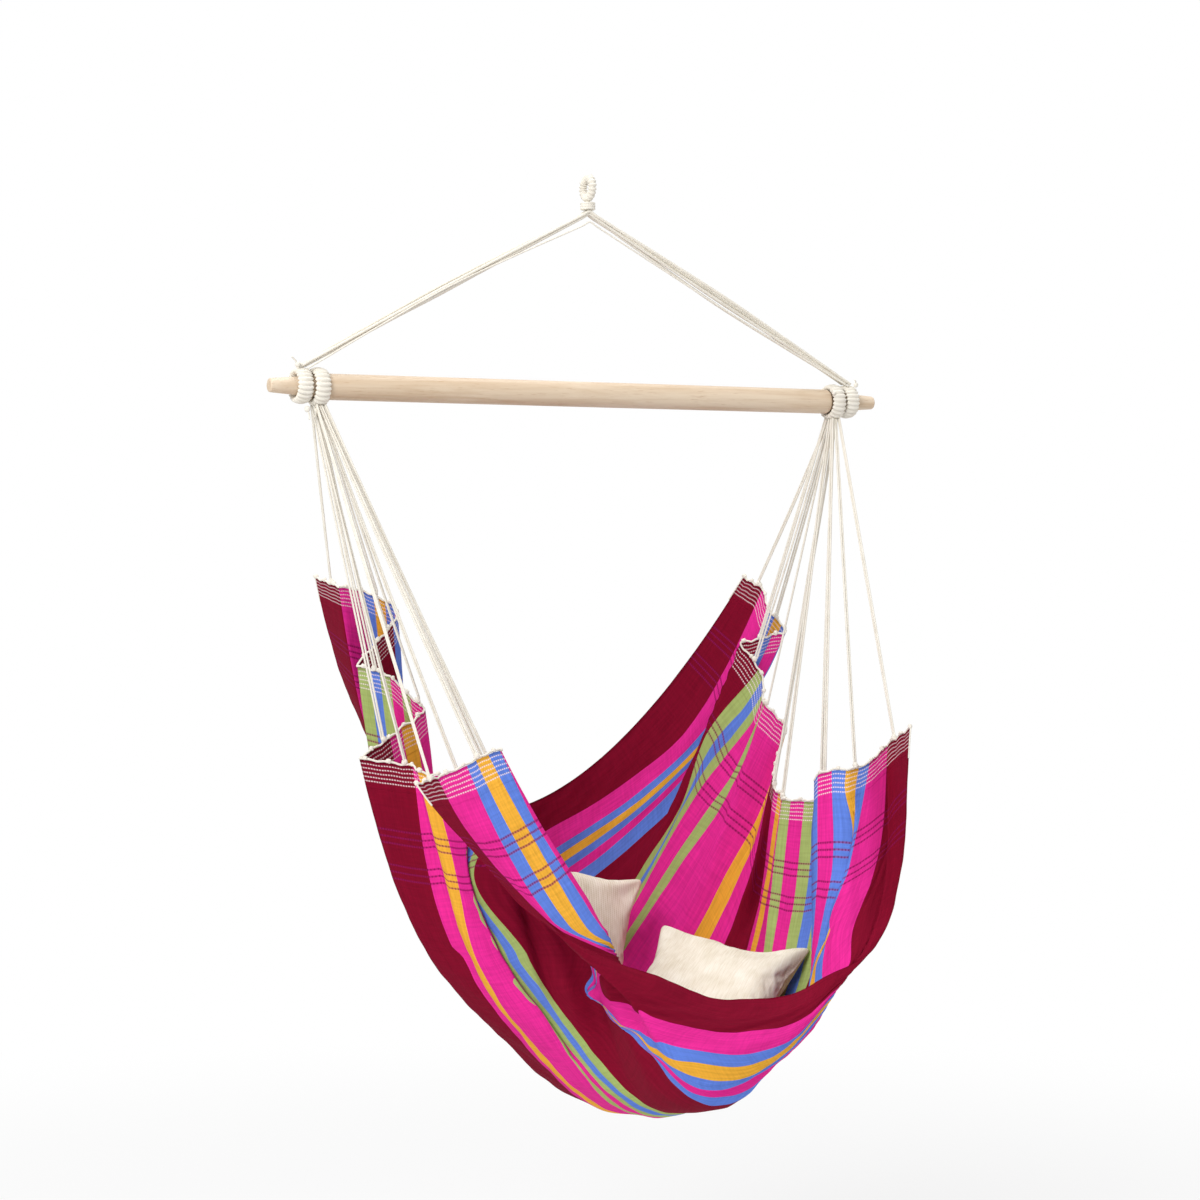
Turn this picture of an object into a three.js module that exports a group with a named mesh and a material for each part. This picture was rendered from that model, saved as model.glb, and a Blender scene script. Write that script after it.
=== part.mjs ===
import * as THREE from 'three';
import { mergeVertices } from 'three/addons/utils/BufferGeometryUtils.js';

// Hanging chair with a spreader bar, millimetres, +Z up, +X along the bar.
// The origin is where a hook carries the hanging loop: the top of the hole in it.

// materials
const mat = {
  wood: new THREE.MeshStandardMaterial({ name: 'beech', color: 0xdcc4a6, roughness: 0.55, metalness: 0 }),
  cord: new THREE.MeshStandardMaterial({ name: 'cord', color: 0xefe9da, roughness: 0.9, metalness: 0 }),
  cloth: new THREE.MeshStandardMaterial({ name: 'striped_cloth', color: 0xb8246f, roughness: 0.92, metalness: 0 }),
  pillow: new THREE.MeshStandardMaterial({ name: 'pillow_cloth', color: 0xe4dac4, roughness: 0.95, metalness: 0 }),
};

const clear = 0.3;        // gap left between pieces that touch

// hanging loop: a ring of cord wrapped with a finer one, in the YZ plane
const loopWrap = 13;      // thickness of the wrapped ring
const loopDia = 43;       // over the ring
const loopRibs = 20;
const ribDepth = 1.1;     // how far a turn of the wrapping stands out
const throatDia = 23;     // whipping below the ring
const throatTurns = 3;
const throatPitch = 3.8;

// spreader bar
const barLength = 1020;
const barDia = 38;
const barDrop = 319;      // bar axis below the origin
const spigotLength = 85;  // from the shoulder to the bar's end
const shoulderRound = 5;
const shoulderAt = barLength / 2 - spigotLength - shoulderRound; // where the full diameter ends
const spigotDia = 33;     // bar end at the shoulder
const tipDia = 20.5;
const tipRound = 3;

// eyes of wrapped cord on the bar's ends
const eyeWidth = 24;      // along the bar
const eyeWrap = 11.5;     // thickness of the wrapped ring
const eyeRibs = 22;
const eyeSlack = 1.1;     // how much wider than the bar the hole is
const eyeGap = 2.2;       // between the two eyes
const eyeFromShoulder = 10; // to the middle of the inner eye
const clewEyeAt = shoulderAt + shoulderRound + eyeFromShoulder;
const bridleEyeAt = clewEyeAt + eyeWidth + eyeGap;

// bridle: cords from one outer eye over the throat to the other
const bridleCordDia = 3.5;
const bridleUpperCount = 4;
const bridleLowerCount = 3;
const bridlePitchTop = 4.1;
const bridlePitchEnd = 5.4;
const bridleLayer = 3.9;
const looseCordDia = 2.4;
const looseDrop = 13;     // loose cord below the others at the throat
const looseShift = 12;

// clew cords, each a cord laid double
const clewCordDia = 4.4;
const clewSlotX = 6.2;
const clewSlotY = 6.6;
const clewColumns = 3;

// cloth: the sling's own sizes, which the shares below follow
const clothWidth = 1208;  // from selvedge to selvedge
const hemReach = 400;     // from the middle plane to a hem
const seatDepth = 400;
const seatDrop = 1080;    // bar axis to the seat's lowest point
const clothThick = 2;
const headerDia = 3.4;    // cord along each hem
const headerRise = 2.2;   // how far it stands off the hem between the corners
const selvedgeCordDia = 2.4;
const hemStep = 12;       // how far to each side the hem's direction is read
const riseRun = 72;       // from a corner to where the hem cord has come to its full distance

// where along each hem a clew cord is tied
const leftHoleShares = [0.042, 0.125, 0.208, 0.292, 0.375, 0.458, 0.542, 0.625, 0.708, 0.792, 0.875, 0.958];
const rightHoleShares = [0.042, 0.125, 0.208, 0.292, 0.375, 0.458, 0.575, 0.64, 0.745, 0.8, 0.88, 0.958];
const clewPerSide = leftHoleShares.length;

// cushions
const backCushion = { side: 290, height: 98 };
const frontCushion = { side: 250, height: 84 };
const cushionDrawIn = 0.09;
const cushionSeam = 5;

// Each row: share of the cloth's width, then shares of reach, depth and drop.
// Where the hem lies as it hangs, with its gathers and folds, from front to back.
const leftHemShares = [
  [0.000, -1.00, -0.68, -0.511], [0.062, -0.87, -0.55, -0.508], [0.103, -0.74, -0.51, -0.495], [0.121, -0.70, -0.50, -0.489],
  [0.140, -0.65, -0.49, -0.482], [0.158, -0.59, -0.47, -0.478], [0.179, -0.56, -0.42, -0.482], [0.198, -0.61, -0.40, -0.489],
  [0.231, -0.56, -0.35, -0.500], [0.264, -0.50, -0.29, -0.510], [0.283, -0.51, -0.25, -0.514], [0.300, -0.56, -0.27, -0.516],
  [0.328, -0.57, -0.20, -0.515], [0.355, -0.60, -0.27, -0.517], [0.410, -0.75, -0.23, -0.515], [0.429, -0.79, -0.20, -0.510],
  [0.448, -0.78, -0.15, -0.505], [0.507, -0.96, -0.07, -0.495], [0.552, -0.82, -0.03, -0.469], [0.571, -0.76, 0.01, -0.457],
  [0.590, -0.70, 0.03, -0.449], [0.618, -0.64, 0.07, -0.435], [0.645, -0.70, 0.07, -0.417], [0.661, -0.74, 0.07, -0.402],
  [0.682, -0.78, 0.07, -0.389], [0.700, -0.81, 0.10, -0.383], [0.717, -0.84, 0.12, -0.379], [0.736, -0.88, 0.15, -0.375],
  [0.802, -0.71, 0.20, -0.319], [0.821, -0.68, 0.23, -0.307], [0.842, -0.67, 0.28, -0.294], [0.897, -0.79, 0.30, -0.274],
  [0.938, -0.91, 0.25, -0.267], [1.000, -0.93, 0.42, -0.256],
];
const rightHemShares = [
  [0.000, 1.00, -0.68, -0.463], [0.062, 1.02, -0.50, -0.490], [0.103, 0.92, -0.53, -0.513], [0.121, 0.87, -0.53, -0.520],
  [0.140, 0.81, -0.54, -0.522], [0.158, 0.77, -0.50, -0.522], [0.179, 0.74, -0.45, -0.530], [0.192, 0.74, -0.42, -0.539],
  [0.245, 0.91, -0.40, -0.556], [0.300, 0.84, -0.28, -0.574], [0.355, 0.77, -0.14, -0.575], [0.410, 0.86, -0.01, -0.576],
  [0.448, 0.86, 0.07, -0.567], [0.500, 0.88, 0.11, -0.548], [0.552, 0.93, 0.15, -0.519], [0.571, 0.96, 0.16, -0.495],
  [0.590, 0.98, 0.16, -0.480], [0.645, 0.89, 0.19, -0.444], [0.662, 0.90, 0.21, -0.446], [0.682, 0.90, 0.22, -0.439],
  [0.700, 0.91, 0.23, -0.428], [0.717, 0.92, 0.25, -0.409], [0.736, 0.91, 0.27, -0.393], [0.770, 0.86, 0.33, -0.356],
  [0.802, 0.93, 0.28, -0.350], [0.821, 0.97, 0.26, -0.344], [0.842, 1.03, 0.25, -0.341], [0.860, 1.02, 0.27, -0.329],
  [0.879, 1.00, 0.29, -0.318], [0.897, 0.98, 0.31, -0.307], [0.938, 0.98, 0.35, -0.275], [1.000, 0.93, 0.42, -0.259],
];
// The same hems without their folds, which fade into these towards the seat.
const leftSmoothShares = [
  [0.000, -1.002, -0.675, -0.511], [0.248, -0.945, -0.375, -0.507], [0.500, -0.925, -0.062, -0.481],
  [0.745, -0.905, 0.175, -0.366], [1.000, -0.930, 0.417, -0.256],
];
const rightSmoothShares = [
  [0.000, 1.002, -0.675, -0.463], [0.248, 0.963, -0.412, -0.544], [0.500, 0.925, 0.113, -0.546],
  [0.745, 0.912, 0.287, -0.381], [1.000, 0.930, 0.417, -0.259],
];
// The cloth's section halfway between the hems: front rim, bulge, bottom, back.
const middleShares = [
  [0.000, 0.175, -0.875, -0.807], [0.062, 0.165, -1.000, -0.854], [0.103, 0.155, -1.030, -0.891], [0.140, 0.150, -1.005, -0.926],
  [0.179, 0.145, -0.912, -0.952], [0.264, 0.130, -0.655, -0.970], [0.355, 0.120, -0.380, -0.983], [0.500, 0.095, 0.058, -1.000],
  [0.590, 0.075, 0.320, -0.981], [0.662, 0.062, 0.512, -0.944], [0.745, 0.050, 0.700, -0.884], [0.828, 0.030, 0.825, -0.804],
  [0.911, 0.013, 0.887, -0.714], [1.000, 0.000, 0.912, -0.615],
];
// How the front rim stands above and outside the curve of the cloth behind it, on its way down from each hem.
const lipShares = { left: [-0.02, 0.00, 0.042], right: [0.05, -0.02, 0.028] };
const lipWidthShare = 0.11;
const rowShares = [0, 0.05, 0.11, 0.18, 0.27, 0.36, 0.44, 0.5, 0.56, 0.64, 0.73, 0.82, 0.89, 0.95, 1];
const columnShares = [
  0, 0.031, 0.062, 0.103, 0.121, 0.14, 0.158, 0.179, 0.198, 0.231, 0.264, 0.283, 0.3, 0.328, 0.355, 0.383, 0.41, 0.429, 0.448, 0.478,
  0.507, 0.552, 0.571, 0.59, 0.618, 0.645, 0.661, 0.682, 0.7, 0.717, 0.736, 0.77, 0.802, 0.821, 0.842, 0.86, 0.879, 0.897, 0.938, 0.969, 1,
];

const hemStepShare = hemStep / clothWidth;
const riseShare = riseRun / clothWidth;

const group = new THREE.Group();

function addMesh(name, geometry, material) {
  geometry.deleteAttribute('uv');
  geometry.deleteAttribute('normal');
  const closed = mergeVertices(geometry, 1e-4);
  closed.computeVertexNormals();
  const mesh = new THREE.Mesh(closed, material);
  mesh.name = name;
  group.add(mesh);
  return mesh;
}

function fromPoints(points, faces) {
  const geometry = new THREE.BufferGeometry();
  geometry.setAttribute('position', new THREE.Float32BufferAttribute(points.flatMap((p) => [p.x, p.y, p.z]), 3));
  geometry.setIndex(faces.flat());
  return geometry;
}

function circleShape(radius, sides) {
  const shape = new THREE.Shape();
  for (let i = 0; i < sides; i += 1) {
    const a = (2 * Math.PI * i) / sides;
    const x = radius * Math.cos(a);
    const y = radius * Math.sin(a);
    if (i === 0) shape.moveTo(x, y);
    else shape.lineTo(x, y);
  }
  shape.closePath();
  return shape;
}

function cordAlong(points, dia, sides, steps) {
  const curve = new THREE.CatmullRomCurve3(points, false, 'centripetal');
  return new THREE.ExtrudeGeometry(circleShape(dia / 2, sides), { steps, extrudePath: curve, bevelEnabled: false });
}

// A tube with flat ends whose rings sit on each point, for a cord with tight bends.
function cordThrough(points, dia, sides) {
  const rings = [];
  const faces = [];
  let side = new THREE.Vector3();
  points.forEach((p, k) => {
    const before = points[Math.max(0, k - 1)];
    const after = points[Math.min(points.length - 1, k + 1)];
    const along = after.clone().sub(before).normalize();
    if (k === 0) side = new THREE.Vector3(0, 0, 1).cross(along).normalize();
    side.addScaledVector(along, -side.dot(along)).normalize();
    const up = along.clone().cross(side);
    for (let i = 0; i < sides; i += 1) {
      const a = (2 * Math.PI * i) / sides;
      rings.push(p.clone().addScaledVector(side, (dia / 2) * Math.cos(a)).addScaledVector(up, (dia / 2) * Math.sin(a)));
    }
    if (k > 0) {
      const b = (k - 1) * sides;
      for (let i = 0; i < sides; i += 1) {
        const j = (i + 1) % sides;
        faces.push([b + i, b + j, b + sides + j], [b + i, b + sides + j, b + sides + i]);
      }
    }
  });
  const last = (points.length - 1) * sides;
  for (let i = 1; i < sides - 1; i += 1) {
    faces.push([0, i + 1, i], [last, last + i, last + i + 1]);
  }
  return fromPoints(rings, faces);
}

// A closed ring about X wrapped with turns that stand out as ribs.
function wrappedRing({ radius, halfX, halfR, ribs, depth, sides }) {
  const points = [];
  const faces = [];
  const count = ribs * 2;
  for (let k = 0; k < count; k += 1) {
    const a = (2 * Math.PI * k) / count;
    const out = new THREE.Vector3(0, Math.sin(a), Math.cos(a));
    const centre = out.clone().multiplyScalar(radius);
    const cut = k % 2 === 0 ? 0 : depth;
    for (let i = 0; i < sides; i += 1) {
      const b = (2 * Math.PI * i) / sides;
      const p = centre.clone().addScaledVector(out, (halfR - cut) * Math.cos(b));
      p.x += (halfX - cut) * Math.sin(b);
      points.push(p);
    }
    const next = ((k + 1) % count) * sides;
    for (let i = 0; i < sides; i += 1) {
      const j = (i + 1) % sides;
      faces.push([k * sides + i, k * sides + j, next + j], [k * sides + i, next + j, next + i]);
    }
  }
  return fromPoints(points, faces);
}

const half = (v) => v / 2;
const top = new THREE.Vector3(0, 0, 1);

// least height of a piece's points above the upward triangles of a surface, or below its downward ones
function heightAbove(points, triangles, facing = 1) {
  let least = Infinity;
  for (const [a, b, c] of triangles) {
    const area = (b.x - a.x) * (c.y - a.y) - (c.x - a.x) * (b.y - a.y);
    if (area * facing < 1e-6) continue;
    const low = Math.min(a.x, b.x, c.x);
    const high = Math.max(a.x, b.x, c.x);
    for (const p of points) {
      if (p.x < low || p.x > high) continue;
      const v = ((p.x - a.x) * (c.y - a.y) - (c.x - a.x) * (p.y - a.y)) / area;
      const w = ((b.x - a.x) * (p.y - a.y) - (p.x - a.x) * (b.y - a.y)) / area;
      if (v < 0 || w < 0 || v + w > 1) continue;
      const z = a.z + v * (b.z - a.z) + w * (c.z - a.z);
      least = Math.min(least, (p.z - z) * facing);
    }
  }
  return least;
}
const trianglesOf = (mesh) => {
  mesh.updateMatrixWorld(true);
  const { position } = mesh.geometry.attributes;
  const points = [];
  for (let i = 0; i < position.count; i += 1) points.push(new THREE.Vector3().fromBufferAttribute(position, i).applyMatrix4(mesh.matrixWorld));
  const triangles = [];
  const { index } = mesh.geometry;
  for (let i = 0; i < index.count; i += 3) triangles.push([points[index.getX(i)], points[index.getX(i + 1)], points[index.getX(i + 2)]]);
  return { points, triangles };
};

// hanging loop and the whipping at its throat
const loopRadius = half(loopDia - loopWrap);
const loopCentre = -loopRadius + half(loopWrap);
const loop = addMesh('hanging_loop', wrappedRing({
  radius: loopRadius, halfX: half(loopWrap), halfR: half(loopWrap), ribs: loopRibs, depth: ribDepth, sides: 8,
}), mat.cord);
loop.position.z = loopCentre;

const throatTop = loopCentre - loopRadius - half(loopWrap) - clear;
const throatHeight = throatTurns * throatPitch;
const throatProfile = [new THREE.Vector2(0, 0)];
for (let k = 0; k < throatTurns; k += 1) {
  const low = k * throatPitch;
  throatProfile.push(new THREE.Vector2(half(throatDia) - ribDepth, low));
  throatProfile.push(new THREE.Vector2(half(throatDia), low + half(throatPitch)));
}
throatProfile.push(new THREE.Vector2(half(throatDia) - ribDepth, throatHeight), new THREE.Vector2(0, throatHeight));
const throatGeometry = new THREE.LatheGeometry(throatProfile, 20);
throatGeometry.rotateX(half(Math.PI));
const throat = addMesh('throat_whipping', throatGeometry, mat.cord);
throat.position.z = throatTop - throatHeight;

// spreader bar: turned, with a shoulder and a tapered spigot at each end
const barRadius = half(barDia);
const spigotAt = shoulderAt + shoulderRound;
const barHalf = half(barLength);
const spigotSlope = (half(spigotDia) - half(tipDia)) / (barHalf - spigotAt);
const barRadiusAt = (x) => half(spigotDia) - spigotSlope * (x - spigotAt);
const endProfile = [
  [0, barHalf], [half(tipDia) - tipRound, barHalf], [half(tipDia) - tipRound * 0.3, barHalf - tipRound * 0.3],
  [barRadiusAt(barHalf - tipRound), barHalf - tipRound], [half(spigotDia), spigotAt],
  [barRadius - (barRadius - half(spigotDia)) * 0.35, spigotAt - shoulderRound * 0.3], [barRadius, shoulderAt],
];
const barProfile = [
  ...endProfile.map(([r, x]) => new THREE.Vector2(r, x)),
  ...[...endProfile].reverse().map(([r, x]) => new THREE.Vector2(r, -x)),
].reverse();
const barGeometry = new THREE.LatheGeometry(barProfile, 32);
barGeometry.rotateZ(-half(Math.PI));
const bar = addMesh('spreader_bar', barGeometry, mat.wood);
bar.position.z = -barDrop;

// eyes: the inner pair carries the seat and rests on the bar, the outer pair carries the bar
const eyes = {};
for (const [sideName, sx] of [['left', -1], ['right', 1]]) {
  for (const [eyeName, at, lift] of [['clew', clewEyeAt, -1], ['bridle', bridleEyeAt, 1]]) {
    const hole = barRadiusAt(at) + eyeSlack;
    const radius = hole + half(eyeWrap);
    const offset = lift * (eyeSlack - clear - spigotSlope);
    const eye = addMesh(`${eyeName}_eye_${sideName}`, wrappedRing({
      radius, halfX: half(eyeWidth), halfR: half(eyeWrap), ribs: eyeRibs, depth: ribDepth, sides: 8,
    }), mat.cord);
    eye.position.set(sx * at, 0, -barDrop + offset);
    eyes[`${eyeName}_${sideName}`] = {
      at: sx * at, centre: -barDrop + offset, outer: radius + half(eyeWrap), triangles: trianglesOf(eye).triangles,
    };
  }
}
// height of an eye's outside above or below its centre, at a place y across the bar and dx along it
function eyeSurface(eye, y, dx) {
  const bulge = half(eyeWrap) * (1 - Math.sqrt(Math.max(0, 1 - (dx / half(eyeWidth)) ** 2)));
  const r = eye.outer - bulge;
  return Math.sqrt(r * r - y * y);
}

// bridle cords
const throatLow = throatTop - throatHeight;
const bridleRadius = half(bridleCordDia);
function bridleCord(name, yTop, yEnd, apexDrop, dia, { apexX = 0, endShare = 0.2, sideBySide = 1 } = {}) {
  const sag = half(dia) * 0.5;
  const apexZ = throatLow - clear - half(dia) - apexDrop + sag;
  const ends = [-1, 1].map((sx) => {
    const eye = eyes[sx < 0 ? 'bridle_left' : 'bridle_right'];
    const endZ = eye.centre + eyeSurface(eye, Math.abs(yEnd) + half(dia), 0) + half(dia) + clear;
    const run = bridleEyeAt / (apexZ - endZ);
    const endX = sx * (bridleEyeAt + half(eyeWidth) * endShare - sideBySide * apexDrop * run);
    return new THREE.Vector3(endX, yEnd, endZ);
  });
  const apex = new THREE.Vector3(apexX, yTop, apexZ);
  const bend = half(throatDia);
  const points = [ends[0]];
  for (const [end, other] of [[ends[0], 0], [ends[1], 1]]) {
    const towards = end.clone().sub(apex);
    const near = apex.clone().addScaledVector(towards, bend / towards.length());
    if (other === 0) points.push(near, apex.clone().add(new THREE.Vector3(0, 0, -sag)));
    else points.push(near);
  }
  points.push(ends[1]);
  addMesh(name, cordAlong(points, dia, 6, 10), mat.cord);
}
let strand = 0;
for (const [count, drop] of [[bridleUpperCount, 0], [bridleLowerCount, bridleLayer]]) {
  for (let k = 0; k < count; k += 1) {
    const place = k - half(count - 1);
    strand += 1;
    bridleCord(`bridle_cord_${strand}`, place * bridlePitchTop, place * bridlePitchEnd, drop, bridleCordDia);
  }
}
const looseSide = -half(bridleUpperCount + 1);
bridleCord('bridle_cord_loose', looseSide * bridlePitchTop, looseSide * bridlePitchEnd, looseDrop, looseCordDia, {
  apexX: -looseShift, endShare: -0.4, sideBySide: 0,
});

// cloth
const hemPoint = ([, x, y, z]) => new THREE.Vector3(x * hemReach, y * seatDepth, -barDrop + z * seatDrop);

function between(rows, share) {
  let k = 0;
  while (k < rows.length - 2 && share > rows[k + 1][0]) k += 1;
  const t = (share - rows[k][0]) / (rows[k + 1][0] - rows[k][0]);
  return hemPoint(rows[k]).lerp(hemPoint(rows[k + 1]), t);
}

function smoothly(rows, share) {
  let k = 0;
  while (k < rows.length - 2 && share > rows[k + 1][0]) k += 1;
  const slope = (i) => {
    const a = Math.max(0, i - 1);
    const b = Math.min(rows.length - 1, i + 1);
    return hemPoint(rows[b]).sub(hemPoint(rows[a])).divideScalar(rows[b][0] - rows[a][0]);
  };
  const width = rows[k + 1][0] - rows[k][0];
  const t = (share - rows[k][0]) / width;
  const p = hemPoint(rows[k]).multiplyScalar(2 * t ** 3 - 3 * t ** 2 + 1);
  p.addScaledVector(hemPoint(rows[k + 1]), -2 * t ** 3 + 3 * t ** 2);
  p.addScaledVector(slope(k), (t ** 3 - 2 * t ** 2 + t) * width);
  p.addScaledVector(slope(k + 1), (t ** 3 - t ** 2) * width);
  return p;
}

// how far out and how far up a hanging strip has come, at a share of the way from its middle to its hem
const chainOut = (share, slack) => Math.asinh(share / slack) / Math.asinh(1 / slack);
const chainUp = (share, slack) => (Math.sqrt(1 + (share / slack) ** 2) - 1) / (Math.sqrt(1 + 1 / slack ** 2) - 1);

function clothPoint(u, share) {
  const left = u < 0.5;
  const hem = between(left ? leftHemShares : rightHemShares, share);
  const smooth = smoothly(left ? leftSmoothShares : rightSmoothShares, share);
  const middle = smoothly(middleShares, share);
  const way = Math.abs(2 * u - 1);
  const slack = 0.30 + 0.16 * (2 * share - 1) ** 2;
  let out = chainOut(way, slack);
  let up = chainUp(way, slack);
  if (!left) {
    const full = 0.55 * (1 - share) ** 4;
    out += (chainOut(way, 0.2) - out) * full;
    up += (way ** 2.3 - up) * full;
  }
  const keep = left ? 0.7 + 0.3 * Math.min(1, Math.max(0, (share - 0.27) / 0.13)) : 0.95;
  const fold = Math.sin(half(Math.PI) * Math.min(1, way / keep)) ** 2;
  const p = middle.clone();
  p.x += (smooth.x - middle.x) * out;
  p.y += (smooth.y - middle.y) * up;
  p.z += (smooth.z - middle.z) * up;
  p.addScaledVector(hem.sub(smooth), fold);
  if (share < lipWidthShare) {
    const [dx, dy, dz] = left ? lipShares.left : lipShares.right;
    const lip = Math.sin(Math.PI * way ** 1.2) ** 2 * Math.cos((half(Math.PI) * share) / lipWidthShare) ** 2;
    p.add(new THREE.Vector3(dx * hemReach, dy * seatDepth, dz * seatDrop).multiplyScalar(lip));
  }
  return p;
}

const rows = rowShares.length;
const columns = columnShares.length;
const mid = rowShares.map((u) => columnShares.map((s) => clothPoint(u, s)));
const faceNormals = mid.map((row) => row.map(() => new THREE.Vector3()));
for (let i = 0; i < rows - 1; i += 1) {
  for (let j = 0; j < columns - 1; j += 1) {
    const corners = [[i, j], [i + 1, j], [i + 1, j + 1], [i, j + 1]];
    const a = mid[i + 1][j + 1].clone().sub(mid[i][j]);
    const b = mid[i][j + 1].clone().sub(mid[i + 1][j]);
    const normal = a.cross(b);
    for (const [r, c] of corners) faceNormals[r][c].add(normal);
  }
}
const clothPoints = [];
for (const sign of [1, -1]) {
  mid.forEach((row, i) => row.forEach((p, j) => {
    clothPoints.push(p.clone().addScaledVector(faceNormals[i][j].clone().normalize(), (sign * clothThick) / 2));
  }));
}
const clothFaces = [];
const at = (i, j, back) => back * rows * columns + i * columns + j;
for (let i = 0; i < rows - 1; i += 1) {
  for (let j = 0; j < columns - 1; j += 1) {
    const [a, b, c, d] = [at(i, j, 0), at(i + 1, j, 0), at(i + 1, j + 1, 0), at(i, j + 1, 0)];
    const [e, f, g, h] = [at(i, j, 1), at(i + 1, j, 1), at(i + 1, j + 1, 1), at(i, j + 1, 1)];
    clothFaces.push([a, b, c], [a, c, d], [e, g, f], [e, h, g]);
  }
}
const border = [];
for (let i = 0; i < rows - 1; i += 1) border.push([i, 0]);
for (let j = 0; j < columns - 1; j += 1) border.push([rows - 1, j]);
for (let i = rows - 1; i > 0; i -= 1) border.push([i, columns - 1]);
for (let j = columns - 1; j > 0; j -= 1) border.push([0, j]);
border.forEach(([i, j], k) => {
  const [m, n] = border[(k + 1) % border.length];
  clothFaces.push([at(i, j, 0), at(i, j, 1), at(m, n, 1)], [at(i, j, 0), at(m, n, 1), at(m, n, 0)]);
});
addMesh('seat_cloth', fromPoints(clothPoints, clothFaces), mat.cloth);

// cords along the hems, cords that carry the hems, and cords sewn to the selvedges at the corners
for (const [sideName, sx] of [['left', -1], ['right', 1]]) {
  const u = sx < 0 ? 0 : 1;
  const inward = sx < 0 ? rowShares[1] : rowShares[rows - 2];
  // the hem cord runs off the cloth's edge, towards the eye
  const eye = eyes[`clew_${sideName}`];
  const pull = new THREE.Vector3(eye.at, 0, eye.centre);
  const hemCordAt = (share) => {
    const along = clothPoint(u, Math.min(1, share + hemStepShare)).sub(clothPoint(u, Math.max(0, share - hemStepShare))).normalize();
    const edge = clothPoint(u, share);
    const out = edge.clone().sub(clothPoint(inward, share)).normalize().add(pull.clone().sub(edge).normalize());
    out.addScaledVector(along, -out.dot(along)).normalize();
    const rise = headerRise * Math.min(1, Math.min(share, 1 - share) / riseShare);
    return edge.addScaledVector(out, half(headerDia) + 2 * clear + rise);
  };
  const header = columnShares.map(hemCordAt);
  addMesh(`hem_cord_${sideName}`, cordThrough(header, headerDia, 6), mat.cord);

  const holeShares = sx < 0 ? leftHoleShares : rightHoleShares;
  const alongHeader = (share) => {
    const k = Math.min(columns - 2, Math.max(0, columnShares.findIndex((s) => s > share) - 1));
    return header[k].clone().lerp(header[k + 1], (share - columnShares[k]) / (columnShares[k + 1] - columnShares[k]));
  };
  const holes = holeShares.map(alongHeader);
  const order = holes.map((p, k) => k).sort((a, b) => holes[a].y - holes[b].y);
  const slots = new Map();
  const rowsOfSlots = clewPerSide / clewColumns;
  for (let r = 0; r < rowsOfSlots; r += 1) {
    const inRow = order.slice(r * clewColumns, (r + 1) * clewColumns).sort((a, b) => holes[a].x - holes[b].x);
    inRow.forEach((k, c) => slots.set(k, [(c - half(clewColumns - 1)) * clewSlotX, (r - half(rowsOfSlots - 1)) * clewSlotY]));
  }
  holes.forEach((hole, k) => {
    const [dx, dy] = slots.get(k);
    const start = new THREE.Vector3(eye.at + dx, dy, eye.centre - eye.outer);
    const towards = start.clone().sub(hole).normalize();
    // raised until its flat end meets the underside of the eye
    const side = new THREE.Vector3(1, 0, 0).cross(towards).normalize();
    const across = side.clone().cross(towards);
    const endPoints = [start.clone()];
    for (const r of [half(clewCordDia), half(clewCordDia) * 0.5]) {
      for (let i = 0; i < 12; i += 1) {
        const a = (2 * Math.PI * i) / 12;
        endPoints.push(start.clone().addScaledVector(side, r * Math.cos(a)).addScaledVector(across, r * Math.sin(a)));
      }
    }
    start.z += heightAbove(endPoints, eye.triangles, -1) - 2 * clear;
    // how far the cord's other end keeps off, by the angle at which the hem cord comes up beside it
    const keepOff = Math.max(...[-hemStepShare, hemStepShare].map((step) => {
      const rising = Math.max(0, alongHeader(holeShares[k] + step).sub(hole).normalize().dot(towards));
      return (half(headerDia) + 2 * clear + half(clewCordDia) * rising) / Math.sqrt(1 - rising * rising);
    }));
    const foot = hole.clone().addScaledVector(towards, keepOff);
    addMesh(`clew_cord_${sideName}_${k + 1}`, cordAlong([start, start.clone().lerp(foot, 0.5), foot], clewCordDia, 6, 2), mat.cord);
  });

  for (const [endName, share, nextShare] of [['front', 0, columnShares[1]], ['back', 1, columnShares[columns - 2]]]) {
    const run = [0, 0.5, 1].map((t) => {
      const uHere = u + (inward - u) * t * 0.9;
      const edge = clothPoint(u, share).lerp(clothPoint(inward, share), t * 0.9);
      const outward = clothPoint(uHere, share).sub(clothPoint(uHere, nextShare)).normalize();
      return edge.addScaledVector(outward, half(selvedgeCordDia) + 2 * clear);
    });
    addMesh(`corner_cord_${endName}_${sideName}`, cordAlong(run, selvedgeCordDia, 6, 3), mat.cord);
  }
}

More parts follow.
